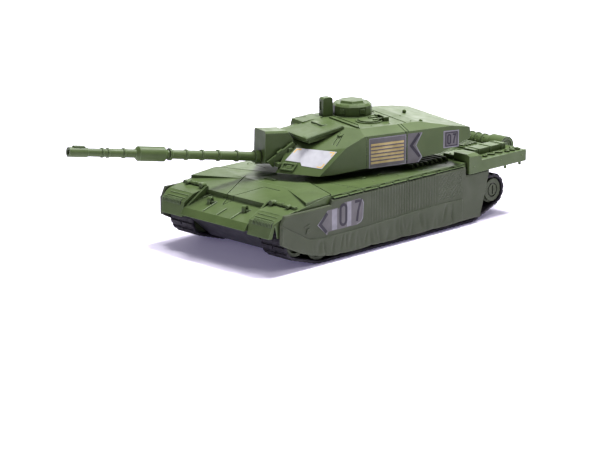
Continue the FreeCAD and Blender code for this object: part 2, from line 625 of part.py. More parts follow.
def skirt():
    """Side armour: a plain upper plate over a thicker lower curtain, with hanging tabs."""
    outline = [(-79.9, 13.9), (-79.9, 23.2), (-77.9, 27.2), (-48.5, 27.2), (-47.5, 29.3), (44.0, 29.3),
               (44.0, 25.2), (61.6, 25.2), (58.5, 13.2), (55.3, 3.0), (42.0, 3.0), (23.0, 2.2),
               (-17.0, 2.7), (-45.7, 2.4), (-62.9, 6.0), (-75.1, 11.4)]
    seam = [(-79.9, 23.0), (-62.8, 13.6), (-51.8, 14.3), (42.0, 14.4), (54.0, 17.4), (60.2, 19.2),
            (58.5, 13.2), (55.3, 3.0), (42.0, 3.0), (23.0, 2.2), (-17.0, 2.7), (-45.7, 2.4), (-62.9, 6.0),
            (-75.1, 11.4), (-79.9, 13.9)]
    plate = prism_x(outline, 39.15, 40.8)
    curtain = prism_x(seam, 40.5, 41.3)
    lip = box(39.15, 41.2, -79.9, -79.0, 14.2, 23.0)
    spacer = box(38.75, 39.2, -40, 40, 27.9, 28.9)
    return fused([plate, curtain, lip]).fuse(spacer.cut(box(0, 39.0, -FAR, FAR, 0, FAR))).removeSplitter()


def engine_deck():
    """Rear deck plate with rows of cooling louvres and a raised grille frame."""
    deck = box(-HULL_HALF, HULL_HALF, DECK_END_Y + 0.1, REAR_Y, SPONSON_BOTTOM + 0.1, DECK_Z)
    deck = deck.cut(box(1 - HULL_HALF, HULL_HALF - 1, DECK_END_Y + 1.5, REAR_Y - 1.5, 20, DECK_Z - 1.4))
    for x0 in (-19.5, -6.0, 7.5):
        for row in range(7):
            y = 50.0 + 2.1 * row
            deck = deck.cut(box(x0, x0 + 12.0, y, y + 0.9, DECK_Z - 0.7, FAR))
    frames = [box(x, x + 17.0, 68.0, 80.5, DECK_Z - 0.1, DECK_Z + 0.8) for x in (-18.5, 1.5)]
    for x in (-18.5, 1.5):
        for row in range(5):
            y = 69.2 + 2.2 * row
            frames.append(box(x + 1, x + 16, y, y + 1.1, DECK_Z + 0.7, DECK_Z + 1.5))
    return fused([deck] + frames)


def stowage_box():
    """Rear sponson bin with a bevelled block, a long locker on top and two stubs below."""
    plan = [(21.7, 46.6), (41.0, 46.6), (41.0, 89.0), (27.3, 89.0), (27.3, 84.4), (21.7, 84.4)]
    bin_body = prism_z(plan, 25.4, 31.1)
    bin_body = bin_body.cut(box(23.0, 39.6, 48.0, 83.0, 20, 29.7)).cut(box(28.6, 39.6, 80.0, 87.6, 20, 29.7))
    block = box(30.8, 41.0, 46.6, 55.6, 31.0, 35.0)
    block = trim(block, (41.0, 48.0, 35.0), (41.0, 55.6, 35.0), (39.6, 50.0, 35.0001), (35, 50, 33))
    block = trim(block, (41.0, 46.6, 34.0), (41.0, 55.6, 33.6), (38.8, 50.0, 35.0), (35, 50, 33))
    block = trim(block, (31.0, 55.6, 32.6), (41.0, 55.6, 32.6), (36.0, 53.4, 35.0), (35, 50, 33))
    front_locker = box(23.5, 30.0, 47.2, 57.0, 31.0, 33.2)
    locker = box(25.5, 32.6, 60.0, 83.0, 31.0, 34.0)
    stubs = [rod_z(40.2, y, 23.9, 25.5, 0.7) for y in (74.0, 85.0)]
    return fused([bin_body, block, front_locker, locker] + stubs)


DRUM_Y, DRUM_Z, DRUM_R = 91.0, 29.5, 5.4


def fuel_drum():
    """Transverse drum on the tail, with a wide outboard hoop and ribs."""
    drum = rod_x(1.2, 26.3, DRUM_Y, DRUM_Z, 4.3)
    hoop = rod_x(17.5, 26.6, DRUM_Y, DRUM_Z, DRUM_R)
    ribs = [rod_x(x, x + 1.0, DRUM_Y, DRUM_Z, 4.7) for x in (2.6, 7.0, 11.4)]
    dimple = rod_x(26.1, 27, DRUM_Y, DRUM_Z, 3.9)
    return fused([drum, hoop] + ribs).cut(dimple)


def drum_cradles():
    """Cradle arms that hold the two drums off the tail plate, moulded with the tub."""
    arms = []
    for x in (4.4, 13.0):
        arm = box(x, x + 1.6, REAR_Y - 0.5, DRUM_Y, 20.0, DRUM_Z)
        arm = arm.cut(rod_x(0, FAR, DRUM_Y, DRUM_Z, 4.3))
        arm = arm.cut(box(0, FAR, 0, REAR_Y + 0.1, SPONSON_BOTTOM, FAR))
        below = (x, REAR_Y, DRUM_Z)
        arm = trim(arm, (x, REAR_Y, 20.0), (x + 1.6, REAR_Y, 20.0), (x, DRUM_Y, 24.6), below)
        arms += both_sides(arm)
    return arms


def hull_screws():
    """Four long screws from the belly into the deck, and the short one of the battery cover."""
    screws = []
    for x, y in SCREW_PLACES:
        screw = fused([rod_z(x, y, 6.2, 8.0, 2.0), rod_z(x, y, 7.5, 25.0, 0.9)])
        screws.append(screw.cut(box(x - 1.5, x + 1.5, y - 0.25, y + 0.25, 6, 6.8)))
    cover_screw = fused([rod_z(0, -2.2, BELLY_Z - 0.5, BELLY_Z, 1.7), rod_z(0, -2.2, BELLY_Z - 0.1, 12.0, 0.9)])
    screws.append(cover_screw.cut(box(-1.2, 1.2, -2.4, -2.0, 4, BELLY_Z - 0.2)))
    return Part.makeCompound(screws)


# ---------------------------------------------------------------- turret

def turret_envelope(inset):
    """The faceted turret form, with every face moved inwards by inset."""
    kept = (0, 10, 44)
    plan = [(-TURRET_HALF, -60), (TURRET_HALF, -60), (TURRET_HALF, 70), (-TURRET_HALF, 70)]
    form = prism_z(plan, TURRET_BOTTOM - 5, ROOF_Z + 5)
    planes = [
        ((-5, 0, TURRET_BOTTOM), (5, 0, TURRET_BOTTOM), (0, 9, TURRET_BOTTOM)),
        ((-5, 28, TURRET_BOTTOM), (5, 28, TURRET_BOTTOM), (0, 39.2, 38.1)),
        ((-5, 39.2, 38.1), (5, 39.2, 38.1), (0, 53.3, 39.0)),
        ((-5, 53.3, 39.0), (5, 53.3, 39.0), (0, 56.0, 45.0)),
        ((-5, 56.0, 45.0), (5, 56.0, 45.0), (0, 55.4, 49.1)),
        ((-5, 31, ROOF_Z), (5, 31, ROOF_Z), (0, 55.4, 49.1)),
        ((-5, 0, ROOF_Z), (5, 0, ROOF_Z), (0, 9, ROOF_Z)),
    ]
    for side in (-1, 1):
        planes += [
            ((side * TURRET_HALF, 0, 40), (side * TURRET_HALF, 9, 40), (side * TURRET_HALF, 0, 49)),
            ((side * 11.2, -41.4, TURRET_BOTTOM), (side * TURRET_HALF, -28.4, TURRET_BOTTOM), (side * 26.3, -15.2, 46.2)),
            ((side * 3.6, -28.3, 46.0), (side * 26.3, -15.2, 46.2), (side * 20.0, -2.5, ROOF_Z)),
            ((side * ROOF_HALF, 0, ROOF_Z), (side * ROOF_HALF, 20, ROOF_Z), (side * TURRET_HALF, 10, SIDE_TOP)),
        ]
    for a, b, c in planes:
        form = trim(form, a, b, c, kept, inset)
    return form


def gun_pocket(grow):
    """The recess between the cheeks that the gun mount swings in."""
    plan = [(-24.0 - grow, -70), (-POCKET_HALF - grow, -33.5), (-POCKET_HALF - grow, -27.6 + grow),
            (POCKET_HALF + grow, -27.6 + grow), (POCKET_HALF + grow, -33.5), (24.0 + grow, -70)]
    return prism_z(plan, TURRET_BOTTOM - 5 - grow, ROOF_Z + 6)


def turret_shell():
    """Turret casing, open below inside the ring, with sights, hatch ring and cheek detail."""
    outer = turret_envelope(0)
    inner = turret_envelope(SHELL).cut(gun_pocket(SHELL))
    opening = box(-25.0, 25.0, -24.0, 26.5, TURRET_BOTTOM - 1, 40)
    opening = opening.common(turret_envelope(SHELL).fuse(box(-25, 25, -24, 26.5, 34, 38)))
    opening = trim(opening, (11.2, -38.5, 36), (TURRET_HALF, -25.5, 36), (20, -32, 50), (0, 0, 36))
    opening = trim(opening, (-11.2, -38.5, 36), (-TURRET_HALF, -25.5, 36), (-20, -32, 50), (0, 0, 36))
    shell = outer.cut(gun_pocket(0)).cut(inner).cut(opening)
    plate = roof_plate()
    details = [plate, sight_housing(), rear_roof_knobs()] + hatch_details() + both_sides(cheek_lug())
    shell = shell.multiFuse(details).removeSplitter()
    shell = shell.cut(rod_x(-9.4, 9.4, TRUNNION_Y, TRUNNION_Z, TRUNNION_R + RUNNING))
    shell = shell.cut(box(*SIGHT_FOOT, SIGHT_SEAT_Z, FAR))
    for groove in turret_grooves():
        shell = shell.cut(groove)
    return shell


def roof_plate():
    """Flat plate between the cheeks that runs forward from the roof over the gun mount."""
    plate = prism_z([(-13.5, -27.4), (14.0, -26.0), (12.5, 1.0), (-12.5, 1.0)], 44.0, ROOF_Z)
    plate = trim(plate, (-5, -28, 49.3), (5, -28, 49.3), (0, -3.5, ROOF_Z), (0, -10, 45))
    return trim(plate, (-5, -28, 47.0), (5, -28, 47.0), (0, -2.5, 51.0), (0, -10, 60))


def sight_housing():
    """Armoured sight box on the starboard side of the roof plate."""
    housing = box(-18.5, -8.5, -17.5, -5.6, 46.5, 58)
    housing = trim(housing, (-9, -17.5, 52.4), (-18, -17.5, 52.4), (-9, -4, 53.9), (-12, -10, 48))
    return trim(housing, (-9, -18.2, 49.0), (-18, -18.2, 49.0), (-9, -16.6, 52.6), (-12, -10, 50))


def hatch_details():
    """Loader's hatch with its rim and hinge block on the port side of the roof."""
    rim = rod_z(8.0, 10.5, ROOF_Z - 0.5, ROOF_Z + 0.5, 6.4).cut(rod_z(8.0, 10.5, ROOF_Z, ROOF_Z + 2, 5.7))
    lid = rod_z(8.0, 10.5, ROOF_Z - 0.5, ROOF_Z + 0.9, 5.0)
    hinge = box(3.6, 12.4, 16.2, 19.0, ROOF_Z - 0.5, ROOF_Z + 2.0)
    hinge = hinge.cut(box(5.2, 10.8, 15, 17.6, ROOF_Z + 0.6, ROOF_Z + 3))
    arms = [box(x, x + 1.2, 11.5, 16.5, ROOF_Z - 0.5, ROOF_Z + 1.4) for x in (5.2, 9.6)]
    return [rim, lid, hinge] + arms


def rear_roof_knobs():
    """Two small lifting studs on the rear edge of the roof."""
    knobs = [Part.makeSphere(1.0, Vector(x, y, 52.6)) for x, y in ((-4.0, 38.0), (18.6, 33.0))]
    stems = [rod_z(x, y, 49.5, 52.5, 0.8) for x, y in ((-4.0, 38.0), (18.6, 33.0))]
    return knobs[0].multiFuse(stems + knobs[1:])


def cheek_lug():
    """Small lifting lug on a cheek top."""
    return box(16.4, 18.6, -12.2, -10.2, 44.0, 50.4)


def turret_grooves():
    """Engraved lines: cheek top plates, roof edge and side panel joints."""
    grooves = []
    for shift in (0.0, 2.2):
        line = box(-0.2, 0.2, 0, 9.5, 0, 12)
        line = turned(line, (0, 0, 0), (0, 0, 1), 32)
        line = turned(line, (0, 0, 0), (1, 0, 0), 22)
        line.translate(Vector(22.6 - shift, -16.2 - shift * 0.2, 46.05 + shift * 0.15))
        grooves += both_sides(line)
    for y in (18.6, 20.4):
        grooves += both_sides(box(ROOF_HALF - 0.3, FAR, y, y + 0.4, 49.0, FAR).cut(
            prism_y([(ROOF_HALF - 1, ROOF_Z - 0.1), (TURRET_HALF + 1, 49.3), (TURRET_HALF + 1, 40), (19, 40)], 0, 40)))
    grooves += both_sides(box(TURRET_HALF - 0.3, FAR, 19.4, 19.8, 34, 51))
    grooves += both_sides(box(TURRET_HALF - 0.3, FAR, -2.7, -2.35, 34, 51))
    return grooves


def turret_base():
    """Floor plate of the turret with its flange and the neck that turns in the hull collar."""
    plate = box(-24.9, 24.9, -23.9, 26.4, TURRET_BOTTOM, TURRET_BOTTOM + 1.4)
    plate = trim(plate, (11.2, -38.4, 36), (TURRET_HALF, -25.4, 36), (20, -31.9, 50), (0, 0, 36))
    plate = trim(plate, (-11.2, -38.4, 36), (-TURRET_HALF, -25.4, 36), (-20, -31.9, 50), (0, 0, 36))
    flange = rod_z(0, 0, RING_COLLAR_TOP + 0.3, TURRET_BOTTOM + 0.1, RING_COLLAR_R + 0.5)
    neck = rod_z(0, 0, 26.8, TURRET_BOTTOM + 0.1, RING_HOLE_R - 2 * RUNNING)
    spigot = rod_z(0, 0, 24.6, 26.9, 12.0)
    return fused([plate, flange, neck, spigot]).cut(rod_z(0, 0, 20, FAR, 10.6))


def cupola():
    """Commander's cupola: a many sided drum with a bevel and a six sided hatch."""
    x, y = -11.3, 12.6
    drum = faceted_cone(x, y, ROOF_Z, 9.7, 57.7, 9.7, 14)
    bevel = faceted_cone(x, y, 57.7, 9.7, 58.8, 8.6, 14)
    hatch = faceted_cone(x, y, 58.8, 6.7, 60.0, 5.9, 6)
    blocks = []
    for i in range(4):
        block = box(x - 1.2, x + 1.2, y - 9.95, y - 8.4, 54.6, 56.6)
        blocks.append(turned(block, (x, y, 0), (0, 0, 1), -90 + 60 * i))
    return fused([drum, bevel, hatch] + blocks)


SIGHT_FOOT = (-14.9, -10.9, -3.8, 1.6)    # x0, x1, y0, y1
SIGHT_SEAT_Z = 51.3


def sight_box():
    """Commander's sight: an upright box with a bevelled hood and a window recess."""
    x0, x1, y0, y1 = SIGHT_FOOT
    top, bevel = 62.2, 0.8
    body = box(x0, x1, y0, y1, SIGHT_SEAT_Z, top)
    for y, reach in ((y0, bevel), (y1, -bevel)):
        body = trim(body, (x0, y, top - bevel), (x1, y, top - bevel), (x0, y + reach, top), (x1, -2, 56))
    return body.cut(box(x0 + 0.9, x1 - 0.9, y0 - 1, y0 + 0.4, 56.0, 60.2))


# ---------------------------------------------------------------- gun

def gun_mount():
    """Tall block that carries the barrel and rocks on the trunnion pin."""
    outline = [(-10.8, -2.4), (-12.5, 12.9), (-0.8, 13.5), (3.0, 9.6), (3.6, -2.2)]
    block = prism_x(outline, -5.5, 5.5)
    block = trim(block, (5.5, -12, 8), (5.5, -11, -2), (4.7, -12.6, 12), (0, 0, 0))
    for side in (-1, 1):
        block = trim(block, (side * 5.5, -12.3, 11.9), (side * 5.5, 0, 12.6), (side * 4.6, -6, 13.3), (0, 0, 0))
    return block.cut(rod_x(-9, 9, 0, 0, TRUNNION_R)).cut(rod_y(0, -14, -5.0, 0, 2.0))


def barrel():
    """Gun tube with its sleeve bands, fume extractor and muzzle block."""
    root = 5.0
    tube = Part.makeCone(2.3, 1.9, GUN_REACH - root, Vector(0, -root, 0), Vector(0, -1, 0))
    tube = tube.cut(rod_y(0, -11.6, -root + 0.5, 0, 2.6)).fuse(rod_y(0, -11.6, -root, 0, 2.0))
    pieces = [tube]
    for reach, width, r in ((11.6, 2.6, 3.0), (23.0, 1.0, 2.75), (32.9, 1.0, 2.7), (41.4, 1.0, 2.65),
                            (49.8, 1.0, 2.6), (58.2, 1.2, 2.9), (82.0, 1.0, 2.45), (90.2, 0.8, 2.35),
                            (93.0, 0.8, 2.35)):
        pieces.append(rod_y(0, -reach - width, -reach, 0, r))
    pieces.append(rod_y(0, -75.2, -62.0, 0, 3.5))
    pieces.append(Part.makeCone(2.2, 3.5, 1.4, Vector(0, -60.6, 0), Vector(0, -1, 0)))
    pieces.append(Part.makeCone(3.5, 2.1, 1.4, Vector(0, -75.2, 0), Vector(0, -1, 0)))
    pieces.append(rod_y(0, -GUN_REACH, -101.0, 0, 2.3))
    reference = prism_x([(-GUN_REACH + 1.2, 0), (-GUN_REACH + 2.4, 3.0), (-102.6, 3.0), (-101.4, 0)], -1.1, 1.1)
    pieces.append(reference)
    return fused(pieces).cut(rod_y(0, -GUN_REACH - 1, -80, 0, 1.25))


def trunnion_pin():
    return rod_x(-9.2, 9.2, 0, 0, TRUNNION_R)


def in_turret(shape):
    """Turn a turret piece to the turret's heading."""
    return turned(shape, (0, 0, 0), (0, 0, 1), TURRET_YAW)


def in_gun(shape):
    """Raise a gun piece to the gun's elevation, then place it in the turret."""
    raised = turned(shape, (0, 0, 0), (1, 0, 0), -GUN_ELEVATION)
    raised.translate(Vector(0, TRUNNION_Y, TRUNNION_Z))
    return in_turret(raised)


# ---------------------------------------------------------------- the tank

def build():
    os.makedirs("parts", exist_ok=True)

    save("lower_hull", lower_hull())
    save("upper_hull", upper_hull())
    save("engine_deck", engine_deck())
    save_pair("mudguard", mudguard())
    save_pair("side_skirt", skirt())
    save_pair("stowage_box", stowage_box())
    save_pair("fuel_drum", fuel_drum())
    save("hull_screws", hull_screws())
    save("axle_pins", axle_pins())
    save_pair("track", track())

    save("battery_cover", battery_cover())
    save("battery_cells", battery_cells())
    save("battery_contacts", battery_contacts())
    save("circuit_board", circuit_board())
    save("wiring", wiring())
    save("switch_body", switch_body())
    save("switch_slider", switch_slider())

    save_pair("gearbox_frame", gearbox_frame())
    save_pair("drive_motor", drive_motor())
    save_pair("motor_pinion", motor_pinion())
    save_pair("compound_gear", compound_gear())
    save_pair("final_gear", final_gear())
    save_pair("drive_axle", drive_axle())
    save_pair("sprocket", sprocket())
    save_pair("idler_wheel", road_wheel(IDLER_Y, IDLER_Z, IDLER_R))
    for number, (y, z) in enumerate(wheel_places(), 1):
        save_pair("road_wheel_%d" % number, road_wheel(y, z, WHEEL_R))

    save("turret_motor", turret_motor())
    save("turret_pinion", turret_pinion())
    save("turret_ring_gear", in_turret(turret_ring_gear()))
    save("turret_base", in_turret(turret_base()))
    save("turret_shell", in_turret(turret_shell()))
    save("cupola", in_turret(cupola()))
    save("sight_box", in_turret(sight_box()))

    save("gun_mount", in_gun(gun_mount()))
    save("gun_barrel", in_gun(barrel()))
    save("trunnion_pin", in_gun(trunnion_pin()))


build()
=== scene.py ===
import json
import math
import random

import bmesh
import bpy
from mathutils import Matrix, Vector


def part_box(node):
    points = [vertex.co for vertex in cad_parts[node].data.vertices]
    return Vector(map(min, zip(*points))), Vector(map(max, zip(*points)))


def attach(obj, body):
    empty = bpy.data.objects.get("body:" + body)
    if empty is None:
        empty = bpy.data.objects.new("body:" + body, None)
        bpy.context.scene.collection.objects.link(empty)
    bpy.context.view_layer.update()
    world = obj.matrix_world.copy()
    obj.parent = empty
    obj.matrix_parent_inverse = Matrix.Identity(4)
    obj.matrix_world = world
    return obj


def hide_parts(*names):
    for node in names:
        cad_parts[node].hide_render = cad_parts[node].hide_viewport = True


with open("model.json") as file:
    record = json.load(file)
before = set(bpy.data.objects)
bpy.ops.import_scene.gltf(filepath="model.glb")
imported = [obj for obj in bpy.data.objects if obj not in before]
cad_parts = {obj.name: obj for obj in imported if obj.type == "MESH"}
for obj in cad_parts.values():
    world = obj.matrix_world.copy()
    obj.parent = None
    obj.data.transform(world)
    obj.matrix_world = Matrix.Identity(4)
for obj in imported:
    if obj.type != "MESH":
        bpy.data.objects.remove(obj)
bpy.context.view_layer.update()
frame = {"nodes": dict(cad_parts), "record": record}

# Lengths are in millimetres in the hull's own layout, with the turret ring centre on the ground
# plane as origin, until a placement turns them into the frame's metres. The gun points to -Y, so
# the port side is at +X, and the starboard side is its mirror image.
MM = 0.001
ring_low, ring_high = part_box("turret_ring_gear")
RING_CENTRE_Y = round((ring_low.y + ring_high.y) / 2 / MM, 2)
TURRET_YAW = -15.0

HULL_PLACE = Matrix.Scale(MM, 4) @ Matrix.Translation((0, RING_CENTRE_Y, 0))
TURRET_PLACE = HULL_PLACE @ Matrix.Rotation(math.radians(TURRET_YAW), 4, "Z")
MIRROR = Matrix.Scale(-1, 4, (1, 0, 0))
SIDES = (("port", Matrix.Identity(4)), ("starboard", MIRROR))


def hull_box(node):
    """Lowest and highest corners of a CAD node, in the hull's layout."""
    shift = Vector((0.0, RING_CENTRE_Y, 0.0))
    return [tuple(round(value, 3) for value in corner / MM - shift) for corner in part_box(node)]


TURRET_HALF = 27.5                        # from the middle to a side wall
TURRET_FOOT = hull_box("turret_shell")[0][2]
ROOF_Z = hull_box("cupola")[0][2]


# ---------------------------------------------------------------- materials

class Surface:
    """A procedural material on object coordinates in millimetres."""

    def __init__(self, name, base_roughness=0.5, metallic=0.0, specular=0.5):
        self.material = bpy.data.materials.new(name)
        self.material.use_nodes = True
        self.nodes = self.material.node_tree.nodes
        self.links = self.material.node_tree.links
        self.shader = self.nodes["Principled BSDF"]
        self.shader.inputs["Metallic"].default_value = metallic
        self.shader.inputs["Roughness"].default_value = base_roughness
        self.shader.inputs["Specular IOR Level"].default_value = specular
        coordinates = self.nodes.new("ShaderNodeTexCoord")
        self.mapping = self.nodes.new("ShaderNodeMapping")
        self.mapping.inputs["Scale"].default_value = (1 / MM, 1 / MM, 1 / MM)
        self.links.new(coordinates.outputs["Object"], self.mapping.inputs["Vector"])
        self.normal = None

    def noise(self, size, detail=3.0, stretch=None):
        """Noise of a feature size in millimetres; stretch scales the coordinates first."""
        node = self.nodes.new("ShaderNodeTexNoise")
        node.inputs["Scale"].default_value = 1.0 / size
        node.inputs["Detail"].default_value = detail
        source = self.mapping.outputs["Vector"]
        if stretch:
            squeeze = self.nodes.new("ShaderNodeMapping")
            squeeze.inputs["Scale"].default_value = stretch
            self.links.new(source, squeeze.inputs["Vector"])
            source = squeeze.outputs["Vector"]
        self.links.new(source, node.inputs["Vector"])
        return node.outputs["Fac"]

    def ramp(self, value, low, high, out_low=0.0, out_high=1.0):
        """A value stretched from one range to another, and held at its ends."""
        node = self.nodes.new("ShaderNodeMapRange")
        node.inputs["From Min"].default_value = low
        node.inputs["From Max"].default_value = high
        node.inputs["To Min"].default_value = out_low
        node.inputs["To Max"].default_value = out_high
        self.links.new(value, node.inputs["Value"])
        return node.outputs["Result"]

    def mix(self, factor, first, second):
        """A colour between two, each a colour or a socket."""
        node = self.nodes.new("ShaderNodeMix")
        node.data_type = "RGBA"
        self.links.new(factor, node.inputs["Factor"])
        for socket, colour in ((node.inputs[6], first), (node.inputs[7], second)):
            if isinstance(colour, tuple):
                socket.default_value = (*colour, 1.0)
            else:
                self.links.new(colour, socket)
        return node.outputs[2]

    def edges(self, radius):
        """Mask of painted highlight: one along sharp edges, nought on flats; it rounds the surface's edges
        by the radius too.
        """
        bevel = self.nodes.new("ShaderNodeBevel")
        bevel.samples = 4
        bevel.inputs["Radius"].default_value = radius * MM
        geometry = self.nodes.new("ShaderNodeNewGeometry")
        dot = self.nodes.new("ShaderNodeVectorMath")
        dot.operation = "DOT_PRODUCT"
        self.links.new(bevel.outputs["Normal"], dot.inputs[0])
        self.links.new(geometry.outputs["Normal"], dot.inputs[1])
        self.normal = bevel.outputs["Normal"]
        return self.ramp(dot.outputs["Value"], 0.99, 0.85)

    def painted_shade_in_hollows(self, reach):
        """Mask of painted shade: one deep in creases and gaps, nought in the open."""
        occlusion = self.nodes.new("ShaderNodeAmbientOcclusion")
        occlusion.samples = 8
        occlusion.inputs["Distance"].default_value = reach * MM
        return self.ramp(occlusion.outputs["AO"], 0.85, 0.35)

    def colour(self, socket):
        """The surface's own colour."""
        self.links.new(socket, self.shader.inputs["Base Color"])

    def roughness(self, value, low, high):
        """Roughness that wanders between two numbers with a noise."""
        self.links.new(self.ramp(value, 0.3, 0.7, low, high), self.shader.inputs["Roughness"])

    def bump(self, height, depth):
        """Relief of a depth in millimetres, on top of the rounded edges if there are any."""
        node = self.nodes.new("ShaderNodeBump")
        node.inputs["Distance"].default_value = depth * MM
        node.inputs["Strength"].default_value = 1.0
        self.links.new(height, node.inputs["Height"])
        if self.normal is not None:
            self.links.new(self.normal, node.inputs["Normal"])
        self.links.new(node.outputs["Normal"], self.shader.inputs["Normal"])


BLOTCH = 14.0                             # size of the flow marks in a moulding
PAINTED_SHADE_REACH, PAINTED_SHADE_LEVEL = 2.2, 0.3     # painted shade in creases: how near a face darkens its neighbour, and how dark it gets


def moulded_plastic(name, dark, light, edge_highlight_colour, roughness=(0.38, 0.52), edge=0.22, grain=0.35, depth=0.012,
                    specular=0.5):
    """Injection moulded plastic: faint flow marks, fine grain, edges painted paler as a highlight and
    hollows painted darker as shade.
    """
    surface = Surface(name, specular=specular)
    edge_highlight_mask = surface.edges(edge)
    cloud = surface.noise(BLOTCH, 4.0)
    colour = surface.mix(surface.ramp(cloud, 0.35, 0.65), dark, light)
    scuff = surface.ramp(surface.noise(3.0, 6.0), 0.55, 0.75, 0.0, 0.35)
    colour = surface.mix(scuff, colour, light)
    # painted highlight: sharp edges are lightened towards the edge highlight colour
    colour = surface.mix(edge_highlight_mask, colour, edge_highlight_colour)
    # painted shade: creases and gaps are darkened towards a dim copy of the dark colour
    painted_shade_colour = tuple(PAINTED_SHADE_LEVEL * channel for channel in dark)
    surface.colour(surface.mix(surface.painted_shade_in_hollows(PAINTED_SHADE_REACH), colour, painted_shade_colour))
    surface.roughness(surface.noise(5.0, 4.0), *roughness)
    surface.bump(surface.noise(grain, 2.0), depth)
    return surface.material


def rubber(name):
    """Black rubber with a little dust, and edges painted greyer as a highlight."""
    surface = Surface(name, specular=0.3)
    edge_highlight_mask = surface.edges(0.2)
    dust = surface.ramp(surface.noise(6.0, 6.0), 0.45, 0.7, 0.0, 0.6)
    colour = surface.mix(dust, (0.010, 0.009, 0.013), (0.022, 0.019, 0.027))
    surface.colour(surface.mix(edge_highlight_mask, colour, (0.05, 0.045, 0.058)))
    surface.roughness(surface.noise(2.0), 0.5, 0.75)
    surface.bump(surface.noise(0.4, 3.0), 0.02)
    return surface.material


def metal(name, dark, light, stretch=(0.1, 1.0, 1.0)):
    """Brushed metal: fine lines along the axis that stretch makes long."""
    surface = Surface(name, metallic=1.0)
    edge_highlight_mask = surface.edges(0.1)
    brushed = surface.noise(0.3, 3.0, stretch)
    colour = surface.mix(brushed, dark, light)
    # painted highlight: sharp edges take the light colour
    surface.colour(surface.mix(edge_highlight_mask, colour, light))
    surface.roughness(surface.noise(2.0), 0.22, 0.42)
    surface.bump(brushed, 0.004)
    return surface.material


def foil(name, dark, light, roughness=(0.35, 0.5), specular=0.22, fleck=0.6):
    """Printed vinyl label: fine print screen and a little fading."""
    surface = Surface(name, specular=specular)
    fade = surface.ramp(surface.noise(5.0, 5.0), 0.35, 0.65)
    colour = surface.mix(fade, dark, light)
    screen = surface.ramp(surface.noise(fleck, 2.0), 0.5, 0.8, 0.0, 0.35)
    surface.colour(surface.mix(screen, colour, light))
    surface.roughness(surface.noise(1.5), *roughness)
    surface.bump(surface.noise(2.2, 2.0), 0.02)
    return surface.material


def board_material():
    """Green circuit board lacquer over raised copper tracks."""
    surface = Surface("board_lacquer", specular=0.6)
    tracks = surface.noise(0.9, 1.0)
    colour = surface.mix(surface.ramp(tracks, 0.48, 0.52), (0.006, 0.07, 0.02), (0.015, 0.13, 0.04))
    surface.colour(colour)
    surface.roughness(surface.noise(2.0), 0.25, 0.4)
    surface.bump(tracks, 0.02)
    return surface.material


# The third colour of each moulding is painted on its sharp edges as a highlight.
GREEN = moulded_plastic("green_moulding", (0.060, 0.092, 0.028), (0.074, 0.110, 0.036), (0.20, 0.28, 0.14),
                        edge=0.34, specular=0.24)
GREY_GREEN = moulded_plastic("grey_green_moulding", (0.059, 0.071, 0.042), (0.071, 0.084, 0.052),
                             (0.18, 0.21, 0.15), roughness=(0.48, 0.62), depth=0.02, specular=0.14)
WHEEL_GREEN = moulded_plastic("wheel_moulding", (0.036, 0.048, 0.020), (0.046, 0.060, 0.027),
                              (0.12, 0.15, 0.08), specular=0.2)
BLACK = moulded_plastic("black_moulding", (0.010, 0.010, 0.012), (0.018, 0.018, 0.020), (0.05, 0.05, 0.055))
GEAR = moulded_plastic("acetal_gear", (0.55, 0.54, 0.50), (0.66, 0.65, 0.60), (0.75, 0.74, 0.70), grain=0.6)
RUBBER = rubber("track_rubber")
STEEL = metal("bright_steel", (0.40, 0.40, 0.41), (0.62, 0.62, 0.63))
CAN = metal("motor_can", (0.50, 0.50, 0.48), (0.68, 0.67, 0.64), stretch=(1.0, 0.1, 0.1))
CONTACT = metal("plated_contact", (0.55, 0.50, 0.38), (0.75, 0.70, 0.55))
SLEEVE = foil("battery_sleeve", (0.02, 0.05, 0.12), (0.03, 0.07, 0.17), roughness=(0.2, 0.35))
INSULATION = moulded_plastic("wire_insulation", (0.30, 0.012, 0.010), (0.40, 0.02, 0.015),
                             (0.5, 0.08, 0.06), grain=0.8)
LABEL_GREY = foil("label_grey", (0.098, 0.096, 0.095), (0.122, 0.119, 0.119))
LABEL_DARK = foil("label_ink", (0.018, 0.017, 0.023), (0.030, 0.028, 0.036))
LABEL_LIGHT = foil("label_edge", (0.19, 0.19, 0.205), (0.26, 0.26, 0.28))
LABEL_WHITE = foil("label_silver", (0.44, 0.44, 0.48), (0.54, 0.54, 0.58), specular=0.25, fleck=0.9)
LABEL_YELLOW = foil("label_yellow", (0.62, 0.40, 0.10), (0.75, 0.52, 0.18))
LABEL_TAN = foil("label_tan", (0.36, 0.28, 0.11), (0.52, 0.42, 0.19))
BOARD = board_material()

NODE_MATERIALS = {
    "hull_plastic": GREEN, "skirt_plastic": GREY_GREEN, "wheel_plastic": WHEEL_GREEN,
    "black_plastic": BLACK, "gear_plastic": GEAR, "track_rubber": RUBBER, "steel": STEEL, "motor_can": CAN,
    "contact_plate": CONTACT, "battery_sleeve": SLEEVE, "wire_sleeve": INSULATION, "circuit_board": BOARD,
}


def dress_frame():
    """Give every CAD node the material of its slot in the record."""
    slots = {part["node"]: part["material_slot"] for part in frame["record"]["subparts"]}
    for name, node in frame["nodes"].items():
        node.data.materials.clear()
        node.data.materials.append(NODE_MATERIALS[slots[name]])


# ---------------------------------------------------------------- mesh building

def circle(a, b, radius, step, count, start=0):
    """Points (a, b) round a circle, a step of degrees apart."""
    angles = [math.radians(start + step * k) for k in range(count)]
    return [(a + radius * math.cos(angle), b + radius * math.sin(angle)) for angle in angles]


def ring_points(centre, side, other, radius, sides):
    """A ring of points round a centre in space, in the plane of two directions."""
    angles = [2 * math.pi * k / sides for k in range(sides)]
    return [centre + (side * math.cos(angle) + other * math.sin(angle)) * radius for angle in angles]


